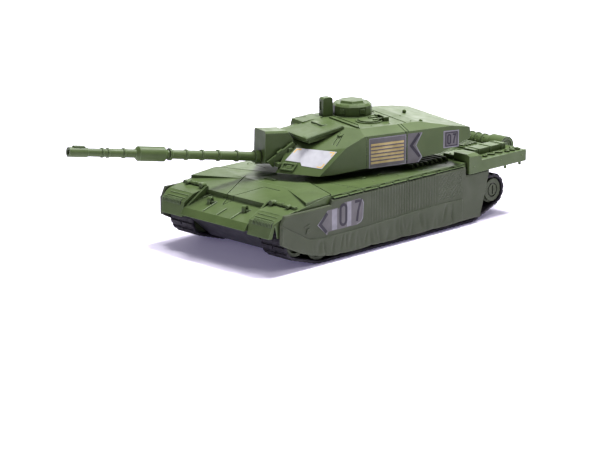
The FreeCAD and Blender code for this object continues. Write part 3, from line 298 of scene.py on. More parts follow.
class Kit:
    """Closed solids in millimetres, gathered into one object."""

    def __init__(self, placement):
        self.mesh = bmesh.new()
        self.placement = placement

    def skin(self, rings, closed=False):
        """Join rings of equal length into one surface, with end caps unless it closes on itself."""
        rows = [[self.mesh.verts.new(point) for point in ring] for ring in rings]
        count = len(rows[0])
        pairs = list(zip(rows, rows[1:])) + ([(rows[-1], rows[0])] if closed else [])
        for low, high in pairs:
            for i in range(count):
                j = (i + 1) % count
                self.mesh.faces.new((low[i], low[j], high[j], high[i]))
        if not closed:
            self.mesh.faces.new(rows[0])
            self.mesh.faces.new(list(reversed(rows[-1])))

    def block(self, low, high, taper):
        """A block between two corners, its top drawn in by taper."""
        (x0, y0, z0), (x1, y1, z1) = low, high
        foot = [(x0, y0, z0), (x0, y1, z0), (x1, y1, z0), (x1, y0, z0)]
        x0, y0, x1, y1 = x0 + taper, y0 + taper, x1 - taper, y1 - taper
        self.skin([foot, [(x0, y0, z1), (x0, y1, z1), (x1, y1, z1), (x1, y0, z1)]])

    def plate(self, plane, outline, low, high, taper):
        """A thin sheet on a plane, between two heights above it, its top drawn in by taper."""
        middle_a, middle_b = (sum(point[i] for point in outline) / len(outline) for i in (0, 1))
        rings = []
        for height, draw in ((low, 0.0), (high, taper)):
            ring = []
            for a, b in outline:
                scale = 1 - draw / math.hypot(a - middle_a, b - middle_b)
                drawn = middle_a + (a - middle_a) * scale, middle_b + (b - middle_b) * scale
                ring.append(plane(*drawn, height))
            rings.append(ring)
        self.skin(rings)

    def stroke(self, plane, points, width, low, high, closed=False):
        """A line of a given width drawn on a plane, with mitred corners."""
        count = len(points)
        left, right = [], []
        for i, (a, b) in enumerate(points):
            before = points[i - 1] if (i or closed) else None
            after = points[(i + 1) % count] if (i < count - 1 or closed) else None
            directions = []
            for start, end in ((before, (a, b)), ((a, b), after)):
                if start is not None and end is not None:
                    length = math.hypot(end[0] - start[0], end[1] - start[1])
                    directions.append(((end[0] - start[0]) / length, (end[1] - start[1]) / length))
            across = [sum(-d[1] for d in directions), sum(d[0] for d in directions)]
            length = math.hypot(*across)
            across = [across[0] / length, across[1] / length]
            spread = width / 2 / max(0.4, across[0] * -directions[0][1] + across[1] * directions[0][0])
            left.append((a + across[0] * spread, b + across[1] * spread))
            right.append((a - across[0] * spread, b - across[1] * spread))
        rings = [[plane(*left[i], low), plane(*left[i], high), plane(*right[i], high), plane(*right[i], low)]
                 for i in range(count)]
        self.skin(rings, closed=closed)

    def tube(self, path, radius, sides):
        """A round bar along a polyline."""
        path = [Vector(p) for p in path]
        rings = []
        side = None
        for i, point in enumerate(path):
            along = (path[min(i + 1, len(path) - 1)] - path[max(i - 1, 0)]).normalized()
            if side is None:
                side = along.orthogonal().normalized()
            side = (side - along * side.dot(along)).normalized()
            other = along.cross(side)
            rings.append(ring_points(point, side, other, radius, sides))
        self.skin(rings)

    def dome(self, centre, radius, axis, height=0.6, sides=10):
        """A rivet or knob head standing on a surface."""
        axis = Vector(axis).normalized()
        side = axis.orthogonal().normalized()
        other = axis.cross(side)
        rings = []
        for share in (-0.3, 0.0, 0.45, 0.8, 0.97):
            reach = radius * math.sqrt(1 - max(0.0, share) ** 2)
            middle = Vector(centre) + axis * (share * radius * height)
            rings.append(ring_points(middle, side, other, reach, sides))
        self.skin(rings)

    def finish(self, name, material, body, replaces=(), bevel=0.0, smooth=False):
        """Place the solids, write them as one piece and let it ride on its body."""
        bmesh.ops.transform(self.mesh, matrix=self.placement, verts=self.mesh.verts)
        bmesh.ops.recalc_face_normals(self.mesh, faces=self.mesh.faces)
        data = bpy.data.meshes.new(name)
        self.mesh.to_mesh(data)
        self.mesh.free()
        piece = bpy.data.objects.new(name, data)
        bpy.context.scene.collection.objects.link(piece)
        data.materials.append(material)
        if bevel:
            modifier = piece.modifiers.new("edges", "BEVEL")
            modifier.width = bevel * MM
            modifier.segments = 2
            modifier.limit_method = "ANGLE"
            modifier.angle_limit = math.radians(40)
        if smooth:
            for polygon in data.polygons:
                polygon.use_smooth = True
        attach(piece, body)
        if replaces:
            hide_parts(*replaces)


def side_plane(x):
    """Drawing plane on a wall that faces +X: points are (y, z)."""
    return lambda y, z, height: Vector((x + height, y, z))


def face_plane(origin, along, up):
    """Drawing plane through a point, with its own two directions."""
    origin, along, up = Vector(origin), Vector(along).normalized(), Vector(up)
    up = (up - along * up.dot(along)).normalized()
    normal = along.cross(up)
    return lambda a, b, height: origin + along * a + up * b + normal * height


# ---------------------------------------------------------------- tracks

BELT_X0 = hull_box("track_port")[0][0]
BELT_X1 = hull_box("track_port")[1][0]
BELT_MID = (BELT_X0 + BELT_X1) / 2
BELT_GAP = 0.15                           # between a wheel's rim and the belt's inner face
LINK_PITCH = 3.1
SLICES_PER_LINK = 4
SOLE_AT_GAP, SOLE_AT_LINK = 0.8, 1.12     # thickness of the belt between and on the links
CONNECTOR = 0.75                          # width of the block at each end of a link


def belt_circle(wheel):
    """Middle (y, z) of a wheel, and the radius of the belt's inner face round it."""
    (_, y0, z0), (_, y1, z1) = hull_box(wheel)
    return round((y0 + y1) / 2, 2), round((z0 + z1) / 2, 2), round((z1 - z0) / 2 + BELT_GAP, 2)


BELT_CIRCLES = [belt_circle(wheel) for wheel in
                ("idler_wheel_port", "road_wheel_1_port", "road_wheel_6_port", "sprocket_port")]


def belt_path(step):
    """Points (y, z, outward y, outward z) at even steps round the inner face of the belt."""
    count = len(BELT_CIRCLES)
    leave = []
    for i, (y0, z0, r0) in enumerate(BELT_CIRCLES):
        y1, z1, r1 = BELT_CIRCLES[(i + 1) % count]
        spread = math.acos((r0 - r1) / math.hypot(y1 - y0, z1 - z0))
        leave.append(math.atan2(z1 - z0, y1 - y0) - spread)
    pieces = []
    for i, (y, z, r) in enumerate(BELT_CIRCLES):
        start, end = leave[i - 1], leave[i]
        while end < start:
            end += 2 * math.pi
        pieces.append(("arc", y, z, r, start, end, r * (end - start)))
        y1, z1, r1 = BELT_CIRCLES[(i + 1) % count]
        first = (y + r * math.cos(end), z + r * math.sin(end))
        last = (y1 + r1 * math.cos(end), z1 + r1 * math.sin(end))
        pieces.append(("line", *first, *last, end, math.dist(first, last)))
    total = sum(piece[-1] for piece in pieces)
    steps = round(total / step)
    points = []
    for k in range(steps):
        way = total * k / steps
        for piece in pieces:
            if way <= piece[-1]:
                break
            way -= piece[-1]
        share = way / piece[-1]
        if piece[0] == "arc":
            _, y0, z0, r, start, end, _ = piece
            angle = start + (end - start) * share
            y, z = y0 + r * math.cos(angle), z0 + r * math.sin(angle)
        else:
            _, y0, z0, y1, z1, angle, _ = piece
            y, z = y0 + (y1 - y0) * share, z0 + (z1 - z0) * share
        points.append((y, z, math.cos(angle), math.sin(angle)))
    return points


def on_belt(point, x, outward, along=0.0):
    """A point at a height outside the inner face and a distance along the belt."""
    y, z, oy, oz = point
    return (x, y + oy * outward - oz * along, z + oz * outward + oy * along)


def belt_section(point, sole):
    """The belt's outline at one point: inner face, side walls and sole, with chamfers."""
    return [on_belt(point, BELT_X0 + 0.3, 0.0), on_belt(point, BELT_X1 - 0.3, 0.0),
            on_belt(point, BELT_X1, 0.35), on_belt(point, BELT_X1, sole - 0.2),
            on_belt(point, BELT_X1 - 0.4, sole), on_belt(point, BELT_X0 + 0.4, sole),
            on_belt(point, BELT_X0, sole - 0.2), on_belt(point, BELT_X0, 0.35)]


def link_block(kit, point, x0, x1, low, high, half, draw=0.12):
    """A block across the belt, between two heights, its top drawn in."""
    kit.skin([[on_belt(point, x0, low, -half), on_belt(point, x0, low, half),
               on_belt(point, x1, low, half), on_belt(point, x1, low, -half)],
              [on_belt(point, x0 + draw, high, -half + draw), on_belt(point, x0 + draw, high, half - draw),
               on_belt(point, x1 - draw, high, half - draw), on_belt(point, x1 - draw, high, -half + draw)]])


def add_link(kit, point):
    """Two ground pads, a guide horn on the inner face and two end connectors."""
    for x0, x1 in ((BELT_X0 + 0.5, BELT_MID - 0.35), (BELT_MID + 0.35, BELT_X1 - 0.5)):
        link_block(kit, point, x0, x1, 0.7, 1.6, 0.85)
    link_block(kit, point, BELT_MID - 0.9, BELT_MID + 0.9, 0.1, -1.15, 0.8, 0.25)
    for x0 in (BELT_X0, BELT_X1 - CONNECTOR):
        link_block(kit, point, x0, x0 + CONNECTOR, 0.5, 1.3, 1.2, 0.1)


def make_track(side, flip):
    """A belt of links that stands for the plain CAD track."""
    kit = Kit(HULL_PLACE @ flip)
    sections = []
    for k, point in enumerate(belt_path(LINK_PITCH / SLICES_PER_LINK)):
        on_link = k % SLICES_PER_LINK in (1, 2)
        sections.append(belt_section(point, SOLE_AT_LINK if on_link else SOLE_AT_GAP))
    kit.skin(sections, closed=True)
    for point in belt_path(LINK_PITCH):
        add_link(kit, point)
    kit.finish("track_" + side + "_links", RUBBER, "hull", ["track_" + side])


# ---------------------------------------------------------------- skirts

SKIRT_LOW, SKIRT_HIGH = hull_box("side_skirt_port")
SKIRT_FRONT, SKIRT_REAR = SKIRT_LOW[1], SKIRT_HIGH[1]
SKIRT_IN = SKIRT_LOW[0] + 0.15
SKIRT_CURTAIN = SKIRT_HIGH[0] - 0.05      # outer face of the thick lower part
SKIRT_PLATE = SKIRT_CURTAIN - 0.45        # outer face of the plain upper part

# side views (y, z): top edge, bottom edge, and the seam between plate and curtain
SKIRT_TOP = [(SKIRT_FRONT, 23.2), (-77.9, 27.2), (-48.5, 27.2), (-47.5, 29.3), (44.0, 29.3), (44.3, 25.2),
             (SKIRT_REAR, 25.2)]
SKIRT_FOOT = [(SKIRT_FRONT, 13.9), (-75.1, 11.4), (-62.9, 6.0), (-45.7, 2.9), (-17.0, 2.9), (23.0, 2.6),
              (42.0, 2.9), (55.3, 3.0), (58.5, 13.2), (SKIRT_REAR, 25.2)]
SKIRT_SEAM = [(SKIRT_FRONT, 22.6), (-62.4, 13.4), (-53.2, 12.6), (-30.0, 12.8), (-10.0, 13.4), (25.0, 14.3),
              (42.0, 13.9), (47.8, 15.4), (54.0, 17.4), (60.6, 20.0), (SKIRT_REAR, 21.2)]

LOBE = 21.2                               # length of one scallop of the curtain's foot
FIRST_LOBE = -42.9
LOBE_DEPTH = 0.55
CURTAIN_START, CURTAIN_END = -66.0, 41.0  # the stretch with scallops
PLEAT_PITCH = 1.9
COLUMN_STEP = 0.55                        # mesh spacing along the skirt
CURTAIN_ROWS, PLATE_ROWS = 22, 26


def skirt_columns():
    """Where the skirt's mesh has a slice: even steps and the sharp corners of its outline."""
    count = int((SKIRT_REAR - SKIRT_FRONT) / COLUMN_STEP) + 1
    even = {round(SKIRT_FRONT + COLUMN_STEP * k, 3) for k in range(count)}
    corners = {y for y, z in SKIRT_TOP[1:] + SKIRT_FOOT[-3:]}
    return sorted(even | corners)


def along_line(line, y):
    """Height of a polyline at y."""
    for (y0, z0), (y1, z1) in zip(line, line[1:]):
        if y <= y1:
            return z0 + (z1 - z0) * (y - y0) / (y1 - y0)
    return line[-1][1]


def skirt_folds():
    """Moulded cloth folds of the curtain: (y, lean, width, height of the middle, length, depth)."""
    chance = random.Random(4)
    folds = []
    y = -60.0
    while y < 38.0:
        folds.append((y, chance.uniform(-0.3, 0.3), chance.uniform(0.5, 1.5), chance.uniform(6.0, 10.5),
                      chance.uniform(2.6, 5.5), chance.uniform(0.20, 0.65)))
        y += chance.uniform(2.2, 6.2)
    return folds


def smooth_step(value, low, high):
    """Nought below low, one above high, and an even curve between."""
    share = min(1.0, max(0.0, (value - low) / (high - low)))
    return share * share * (3 - 2 * share)


def curtain_relief(folds, y, z):
    """Depth of the curtain's folds below its fullest."""
    depth = 0.0
    for fold_y, lean, width, middle, length, deep in folds:
        offset = (y - fold_y - lean * (z - middle)) / width
        reach = (z - middle) / length
        if abs(offset) < 3.5 and abs(reach) < 2.5:
            depth += deep * math.exp(-offset * offset - reach * reach * 0.8)
    return min(0.95, depth)


def plate_relief(y, z):
    """Depth of the plate's fine pleats, which come and go, and of the pitted patch behind them."""
    pleated = smooth_step(y, -25.5, -22.0) * (1 - smooth_step(y, 23.0, 25.0))
    pleats = 0.5 + 0.5 * math.sin(2 * math.pi * y / PLEAT_PITCH + 0.8 * math.sin(y * 0.31))
    strength = 0.22 + 0.2 * max(0.0, math.sin(y * 0.17 + 1.0))
    depth = pleated * pleats * strength
    if 25.0 < y < 41.5 and 16.0 < z < 28.6:
        pits = math.sin(y * 2.6 + 0.9 * math.sin(z)) * math.sin(z * 2.9 + 0.7 * math.sin(y * 0.9))
        depth += 0.3 * max(0.0, pits)
    return depth


def skirt_section(folds, y):
    """One slice of a skirt: its outer face from foot to top, then its flat inner face."""
    foot, seam, top = (along_line(line, y) for line in (SKIRT_FOOT, SKIRT_SEAM, SKIRT_TOP))
    if CURTAIN_START < y < CURTAIN_END:
        swing = abs(math.sin(math.pi * (y - FIRST_LOBE) / LOBE))
        foot += LOBE_DEPTH * (1 - swing ** 0.6)
    seam = max(min(seam, top - 0.6), foot + 0.15)
    full = SKIRT_CURTAIN if y < 42.2 else SKIRT_PLATE
    ends = smooth_step(y, CURTAIN_START, -58.0) * (1 - smooth_step(y, 38.0, 41.5))
    outer = []
    for row in range(CURTAIN_ROWS):
        z = foot + (seam - foot) * row / (CURTAIN_ROWS - 1)
        fade = smooth_step(seam - z, 0.0, 1.6)
        roll = 0.25 * (1 - smooth_step(z - foot, 0.0, 0.7))
        outer.append((full - roll - fade * ends * curtain_relief(folds, y, z), y, z))
    for row in range(PLATE_ROWS):
        z = seam + 0.12 + (top - seam - 0.12) * row / (PLATE_ROWS - 1)
        rounding = 0.3 * smooth_step(z, top - 0.6, top)
        in_plate = smooth_step(z - seam, 0.3, 1.4)
        outer.append((SKIRT_PLATE - rounding - in_plate * plate_relief(y, z), y, z))
    return outer + [(SKIRT_IN, y, top), (SKIRT_IN, y, foot)]


def make_skirt(side, flip, folds):
    """A panel with folds and pleats that stands for the plain CAD skirt."""
    kit = Kit(HULL_PLACE @ flip)
    kit.skin([skirt_section(folds, y) for y in skirt_columns()])
    kit.finish("side_skirt_" + side + "_panel", GREY_GREEN, "hull",
               replaces=["side_skirt_" + side])


# ---------------------------------------------------------------- labels

STICKER = 0.05                            # thickness of one label layer
LABEL_SINK = -0.05                        # how far a label's foot goes into the wall
PALE_TOP = 2 * STICKER
INK_TOP = 2.2 * STICKER
NUMBER = "07"


def numeral(kit, plane, digit, centre, foot, width, height, line):
    """One upright figure drawn with a single line of ink."""
    half, top = (width - line) / 2, foot + height - line / 2
    base = foot + line / 2
    if digit == "0":
        bend = min(half, (top - base) / 2)
        points = []
        for k in range(16):
            angle = 2 * math.pi * (k + 0.5) / 16
            middle = top - bend if math.sin(angle) > 0 else base + bend
            points.append((centre + half * math.cos(angle), middle + bend * math.sin(angle)))
        kit.stroke(plane, points, line, STICKER, INK_TOP, closed=True)
    else:
        points = [(centre - half, top), (centre + half, top), (centre + half * 0.1, (top + base) * 0.5),
                  (centre - half * 0.3, base)]
        kit.stroke(plane, points, line, STICKER, INK_TOP)


def reading_plane(plane, centre, side):
    """The same plane, with its first axis turned on the starboard side so that figures read."""
    if side == "port":
        return plane
    return lambda a, b, height: plane(2 * centre - a, b, height)


def make_skirt_labels(side, flip):
    """An arrow shaped label with two pale bars, an edge line, a chevron and the number."""
    wall = side_plane(SKIRT_PLATE)
    outline = [(-57.6, 19.3), (-50.8, 25.1), (-44.6, 25.3), (-43.8, 24.6), (-39.8, 27.0), (-30.0, 27.1),
               (-28.0, 26.5), (-27.0, 24.7), (-27.5, 17.4), (-28.8, 15.7), (-31.6, 14.9), (-50.2, 15.0),
               (-51.4, 13.6)]
    base = Kit(HULL_PLACE @ flip)
    base.plate(wall, outline, LABEL_SINK, STICKER, 0.02)
    base.finish("skirt_label_" + side, LABEL_GREY, "hull")

    first_bar = [(-48.2, 15.3), (-48.2, 24.9), (-44.8, 25.0), (-44.8, 15.2)]
    second_bar = [(-38.2, 15.2), (-38.2, 26.8), (-35.4, 26.8), (-35.4, 15.2)]
    point_edge = [(-51.3, 13.9), (-57.4, 19.3), (-50.8, 24.8)]
    round_edge = [(-30.0, 26.8), (-28.2, 26.2), (-27.3, 24.6), (-27.8, 17.5), (-29.0, 16.0), (-31.6, 15.2)]
    pale = Kit(HULL_PLACE @ flip)
    pale.plate(wall, first_bar, STICKER, PALE_TOP, 0.02)
    pale.plate(wall, second_bar, STICKER, PALE_TOP, 0.02)
    pale.stroke(wall, point_edge, 0.2, STICKER, PALE_TOP)
    pale.stroke(wall, round_edge, 0.35, STICKER, PALE_TOP)
    pale.finish("skirt_label_edges_" + side, LABEL_LIGHT, "hull")

    ink = Kit(HULL_PLACE @ flip)
    ink.stroke(wall, [(-51.2, 23.8), (-55.8, 19.3), (-51.6, 14.9)], 1.6, STICKER, INK_TOP)
    figures = reading_plane(wall, -35.7, side)
    for digit, centre in zip(NUMBER, (-40.6, -31.0)):
        numeral(ink, figures, digit, centre, 15.9, 5.2, 10.8, 1.3)
    ink.finish("skirt_figures_" + side, LABEL_DARK, "hull")


LABEL_TOP, LABEL_FOOT = 49.5, 35.0        # heights of the labels on the turret's side wall
SLAT_PITCH = 1.72


def make_turret_labels(side, flip):
    """A slatted panel, a chevron panel and a small number panel on the turret's side wall."""
    place = TURRET_PLACE @ flip
    wall = side_plane(TURRET_HALF)
    slat_panel = [(-1.4, LABEL_FOOT), (-1.4, LABEL_TOP), (19.3, LABEL_TOP), (19.3, LABEL_FOOT)]
    chevron_panel = [(20.1, LABEL_FOOT), (20.1, LABEL_TOP), (28.4, LABEL_TOP), (24.9, 43.4), (28.4, 37.4),
                     (26.2, LABEL_FOOT)]
    number_panel = [(40.3, 40.1), (40.3, 48.6), (49.2, 48.4), (49.2, 40.1)]
    base = Kit(place)
    for outline in (slat_panel, chevron_panel, number_panel):
        base.plate(wall, outline, LABEL_SINK, STICKER, 0.02)
    base.finish("turret_label_" + side, LABEL_GREY, "turret")

    chevron_edge = [(28.1, LABEL_TOP - 0.2), (24.7, 43.4), (28.1, 37.4), (26.0, LABEL_FOOT + 0.1)]
    number_edge = [(40.6, 40.4), (40.6, 48.3), (48.9, 48.1), (48.9, 40.4)]
    slat_edge = [(-1.1, 35.3), (-1.1, 49.2), (19.0, 49.2), (19.0, 35.3)]
    pale = Kit(place)
    pale.stroke(wall, chevron_edge, 0.45, STICKER, PALE_TOP)
    pale.stroke(wall, number_edge, 0.4, STICKER, PALE_TOP, closed=True)
    pale.stroke(wall, slat_edge, 0.3, STICKER, PALE_TOP, closed=True)
    pale.finish("turret_label_edges_" + side, LABEL_LIGHT, "turret")

    number_frame = [(41.7, 41.0), (41.7, 47.5), (48.1, 47.4), (48.1, 41.0)]
    ink = Kit(place)
    ink.stroke(wall, [(26.6, 48.9), (22.1, 43.5), (27.0, 37.7)], 1.45, STICKER, INK_TOP)
    ink.stroke(wall, number_frame, 0.5, STICKER, INK_TOP, closed=True)
    figures = reading_plane(wall, 44.9, side)
    for digit, centre in zip(NUMBER, (43.6, 46.4)):
        numeral(ink, figures, digit, centre, 41.7, 2.3, 5.1, 0.75)
    ink.finish("turret_figures_" + side, LABEL_DARK, "turret")

    slats = Kit(place)
    for row in range(6):
        foot = 37.0 + SLAT_PITCH * row
        rings = []
        for v in (-0.3, 0.0, 17.6, 17.9):
            full = 0.32 if 0 <= v <= 17.6 else 0.12
            section = ((0.0, 0.02), (0.1, full), (0.65, full), (1.05, 0.12), (1.1, 0.02))
            rings.append([wall(v, foot + rise, height) for rise, height in section])
        slats.skin(rings)
    slats.finish("turret_louvres_" + side, LABEL_TAN, "turret")


# three corners of the sloping cheek beside the gun, in the turret's layout
CHEEK_ORIGIN = (11.2, -41.4, TURRET_FOOT)
CHEEK_END = (27.5, -28.4, TURRET_FOOT)
CHEEK_TOP = (26.3, -15.2, 46.2)


def cheek_plane():
    """Drawing plane on the cheek: points are (along its foot, up its slope)."""
    along = Vector(CHEEK_END) - Vector(CHEEK_ORIGIN)
    return face_plane(CHEEK_ORIGIN, along, Vector(CHEEK_TOP) - Vector(CHEEK_END))


def make_cheek(side, flip):
    """A silver panel with marks in three corners, and a lamp in a frame below it."""
    plane = cheek_plane()
    place = TURRET_PLACE @ flip
    panel = [(5.7, 14.3), (26.0, 14.0), (21.0, 4.2), (10.6, 4.9), (9.7, 6.6), (1.9, 7.1)]
    silver = Kit(place)
    silver.plate(plane, panel, -0.03, 0.12, 0.05)
    silver.finish("cheek_panel_" + side, LABEL_WHITE, "turret")

    marks = Kit(place)
    for corner, before, after in ((0, 5, 1), (1, 0, 2), (2, 1, 3)):
        tip = Vector(panel[corner])
        legs = [(Vector(panel[k]) - tip).normalized() for k in (before, after)]
        inner = tip + (legs[0] + legs[1]) * 0.75
        line = [tuple(inner + legs[0] * 2.3), tuple(inner), tuple(inner + legs[1] * 2.3)]
        marks.stroke(plane, line, 0.6, 0.11, 0.16)
    marks.finish("cheek_marks_" + side, LABEL_YELLOW, "turret")

    lamp = Kit(place)
    lamp.plate(plane, [(0.7, 1.5), (7.6, 1.3), (8.7, 5.4), (1.4, 5.6)], -0.3, 0.45, 0.15)
    lamp.stroke(plane, [(1.2, 2.0), (7.2, 1.8), (8.1, 5.0), (1.7, 5.2)], 0.75, 0.35, 0.95, closed=True)
    lamp.stroke(plane, [(0.0, 16.2), (1.2, 14.9), (2.0, 15.9), (2.6, 14.6)], 0.7, -0.2, 0.7)
    lamp.plate(plane, [(3.4, 2.5), (5.9, 2.4), (6.3, 4.3), (3.7, 4.4)], 0.4, 0.85, 0.2)
    lamp.finish("cheek_lamp_" + side, GREEN, "turret", bevel=0.08)


# ---------------------------------------------------------------- trim at the front

DECK_Z = 31.0
UNDER_DECK = DECK_Z - 0.1                 # where a moulding that stands on the deck starts
UP = (0, 0, 1)

# side views (y, z) of a small tooth on a mudguard's front edge, and of the black strip behind the teeth,
# which is painted shade in the gaps between them
TOOTH = [(-82.4, 21.7), (-83.0, 21.9), (-82.75, 23.5), (-81.2, 24.5), (-81.2, 23.5)]
TOOTH_SHADE_STRIP = [(-82.3, 21.7), (-82.68, 21.9), (-82.36, 23.5), (-81.2, 24.15), (-81.2, 23.4)]
TOOTH_PITCH = 0.95

# the sloping front plate, from its foot up to the deck
GLACIS_FRONT, GLACIS_REAR, GLACIS_FOOT = -82.7, -50.5, 21.3
GLACIS_SLOPE = (DECK_Z - GLACIS_FOOT) / (GLACIS_REAR - GLACIS_FRONT)

LAMP_BAR_Y = -67.9
RAIL_PITCH, RAIL_START = 10.05, -46.2


def on_glacis(y):
    """Height of the sloping front plate."""
    return GLACIS_FOOT + (y - GLACIS_FRONT) * GLACIS_SLOPE


def make_glacis_trim():
    """Strips, rivets and a pad on the sloping front plate, and three steps behind it."""
    trim = Kit(HULL_PLACE)
    for x, y0, y1 in ((-9.1, -82.3, -73.4), (0.4, -82.3, -76.4), (9.9, -82.3, -76.4)):
        profile = ((0.0, -0.3), (0.0, 0.42), (0.22, 0.55), (0.5, 0.4), (0.5, -0.3))
        trim.skin([[(x + dx, y, on_glacis(y) + dz) for dx, dz in profile] for y in (y0, y1)])
    for start, end in (((-19.4, -73.2), (-13.2, -55.0)), ((-13.2, -55.0), (-4.2, -55.0))):
        profile = ((0.0, -0.3), (0.0, 0.35), (0.7, 0.35), (0.7, -0.3))
        trim.skin([[(x + dx, y, on_glacis(y) + dz) for dx, dz in profile] for x, y in (start, end)])
    for x in (-5.2, 5.8):
        trim.dome((x, -58.5, on_glacis(-58.5)), 0.8, (0, -0.3, 1))
    slope = (0, GLACIS_REAR - GLACIS_FRONT, DECK_Z - GLACIS_FOOT)
    plane = face_plane((0, GLACIS_FRONT, GLACIS_FOOT), (1, 0, 0), slope)
    trim.plate(plane, [(-11.0, 14.6), (-5.6, 14.6), (-6.6, 18.5), (-11.5, 18.5)], -0.1, 0.35, 0.3)
    for turn in range(3):
        y = -45.5 + 0.9 * turn
        trim.block((-6.6, y, DECK_Z - 0.2), (0.4, y + 0.45, DECK_Z + 0.5 - 0.12 * turn), 0.08)
    trim.finish("glacis_trim", GREEN, "hull", bevel=0.06)


def make_headlamps(side, flip):
    """A bar across the mudguard with three collars on feet, and two lamps."""
    lamps = Kit(HULL_PLACE @ flip)
    lamps.tube([(22.6, LAMP_BAR_Y, 28.5), (34.0, LAMP_BAR_Y, 28.5)], 0.95, 12)
    for x in (24.6, 28.8, 33.0):
        lamps.tube([(x - 0.5, LAMP_BAR_Y, 28.5), (x + 0.5, LAMP_BAR_Y, 28.5)], 1.3, 12)
        lamps.block((x - 0.6, LAMP_BAR_Y - 0.9, 27.2), (x + 0.6, LAMP_BAR_Y + 1.0, 28.6), 0.1)
    lamps.tube([(23.4, -70.4, 28.9), (23.4, -67.6, 28.9)], 1.35, 14)
    lamps.tube([(33.6, -70.0, 28.6), (33.6, -67.6, 28.6)], 1.0, 14)
    lamps.block((35.3, -69.0, 27.3), (37.4, -66.6, 29.2), 0.25)
    lamps.finish("headlamp_bar_" + side, GREEN, "hull", bevel=0.1)


def make_mudguard_teeth(side, flip):
    """A row of small teeth on the mudguard's front edge, over a black strip of painted shade for the gaps.
    """
    teeth = Kit(HULL_PLACE @ flip)
    for k in range(13):
        x = 24.4 + TOOTH_PITCH * k
        teeth.skin([[(edge, y, z) for y, z in TOOTH] for edge in (x, x + 0.5)])
    teeth.finish("mudguard_ribs_" + side, GREEN, "hull")
    # painted shade: a black strip that darkens the gaps between the teeth
    strip = Kit(HULL_PLACE @ flip)
    strip.skin([[(x, y, z) for y, z in TOOTH_SHADE_STRIP] for x in (24.1, 36.6)])
    strip.finish("mudguard_shade_strip_" + side, BLACK, "hull")


def make_deck_rail(side, flip):
    """A rail in segments along the deck's edge, with handles and rivets inboard of it."""
    rail = Kit(HULL_PLACE @ flip)
    for k in range(7):
        y = RAIL_START + RAIL_PITCH * k
        rail.block((38.9, y, 29.9), (40.6, y + 9.2, 30.3), 0.12)
        rail.block((38.9, y + 9.5, 29.4), (40.2, y + 9.8, 30.7), 0.05)
    rail.block((38.9, 24.4, 29.9), (40.4, 44.0, 30.1), 0.08)
    for y in (-12.5, -1.7, 22.0):
        rail.block((26.4, y - 1.3, UNDER_DECK), (27.3, y + 1.3, DECK_Z + 0.65), 0.2)
    for k in range(5):
        rail.dome((33.5, -30.0 + 17.0 * k, DECK_Z), 0.55, UP)
    rail.finish("deck_rail_" + side, GREEN, "hull", bevel=0.06)


def make_skirt_latch(side, flip):
    """A latch near the skirt's front, and two rows of rivets near its rear."""
    latch = Kit(HULL_PLACE @ flip)
    wall = side_plane(SKIRT_PLATE)
    latch.plate(wall, [(-65.2, 16.3), (-64.6, 18.6), (-62.4, 19.2), (-61.9, 17.2)], -0.1, 0.45, 0.3)
    latch.stroke(wall, [(-66.0, 19.6), (-64.4, 20.1), (-62.6, 20.6)], 0.4, -0.05, 0.3)
    for y in (41.2, 43.2):
        for z in (6.0, 12.0, 18.0, 24.0):
            latch.dome((SKIRT_PLATE - 0.05, y, z), 0.32, (1, 0, 0))
    latch.finish("skirt_latch_" + side, GREY_GREEN, "hull", bevel=0.05)


# ---------------------------------------------------------------- trim at the rear

DRUM_LOW, DRUM_HIGH = hull_box("fuel_drum_port")
DRUM_Y, DRUM_Z = (round((DRUM_LOW[i] + DRUM_HIGH[i]) / 2, 2) for i in (1, 2))
BIN_WALL_X = hull_box("stowage_box_port")[1][0]
LOUVRE_PITCH = 3.4


def make_tow_cables(side, flip):
    """Cables moulded on the rear bins, in shallow waves."""
    cable = Kit(HULL_PLACE @ flip)
    for start, middle, swing, reach in ((61.0, 36.6, 1.2, 14.5), (77.0, 37.2, 1.9, 10.0)):
        cable.tube([(middle + swing * math.sin(2 * math.pi * k / 11.0), start + reach * k / 28.0, 31.55)
                    for k in range(29)], 0.55, 8)
    cable.tube([(34.0 + 0.9 * math.sin(k * 0.5), 84.4 + 0.13 * k, 31.5) for k in range(26)], 0.45, 8)
    cable.finish("tow_cable_" + side, GREEN, "hull", smooth=True)


def make_bin_straps(side, flip):
    """Straps, a stop and rivets on a rear bin."""
    straps = Kit(HULL_PLACE @ flip)
    for y in (62.5, 71.0, 79.5):
        straps.block((25.2, y, UNDER_DECK), (32.9, y + 0.9, 34.3), 0.12)
    straps.block((33.2, 58.6, UNDER_DECK), (34.2, 59.8, 32.3), 0.15)
    for y in (48.6, 53.8):
        straps.dome((26.6, y, 33.2), 0.6, UP)
    for y in (50.2, 70.0, 86.0):
        straps.dome((BIN_WALL_X, y, 28.6), 0.42, (1, 0, 0), 0.5)
    straps.finish("bin_straps_" + side, GREEN, "hull", bevel=0.08)


def make_drum_bolts(side, flip):
    """Three rows of bolts round a fuel drum, a ring on its end and three hoops."""
    drum = Kit(HULL_PLACE @ flip)
    for x in (5.0, 9.4, 13.8):
        for y, z in circle(DRUM_Y, DRUM_Z, 4.25, 36, 10, start=18):
            drum.dome((x, y, z), 0.55, (0, y - DRUM_Y, z - DRUM_Z), 0.7)
    drum.tube([(26.15, y, z) for y, z in circle(DRUM_Y, DRUM_Z, 2.6, 30, 13)], 0.28, 6)
    for x in (18.6, 21.6, 24.6):
        drum.tube([(x, y, z) for y, z in circle(DRUM_Y, DRUM_Z, 5.18, 15, 25)], 0.22, 6)
    drum.finish("drum_bolts_" + side, GREEN, "hull", smooth=True)


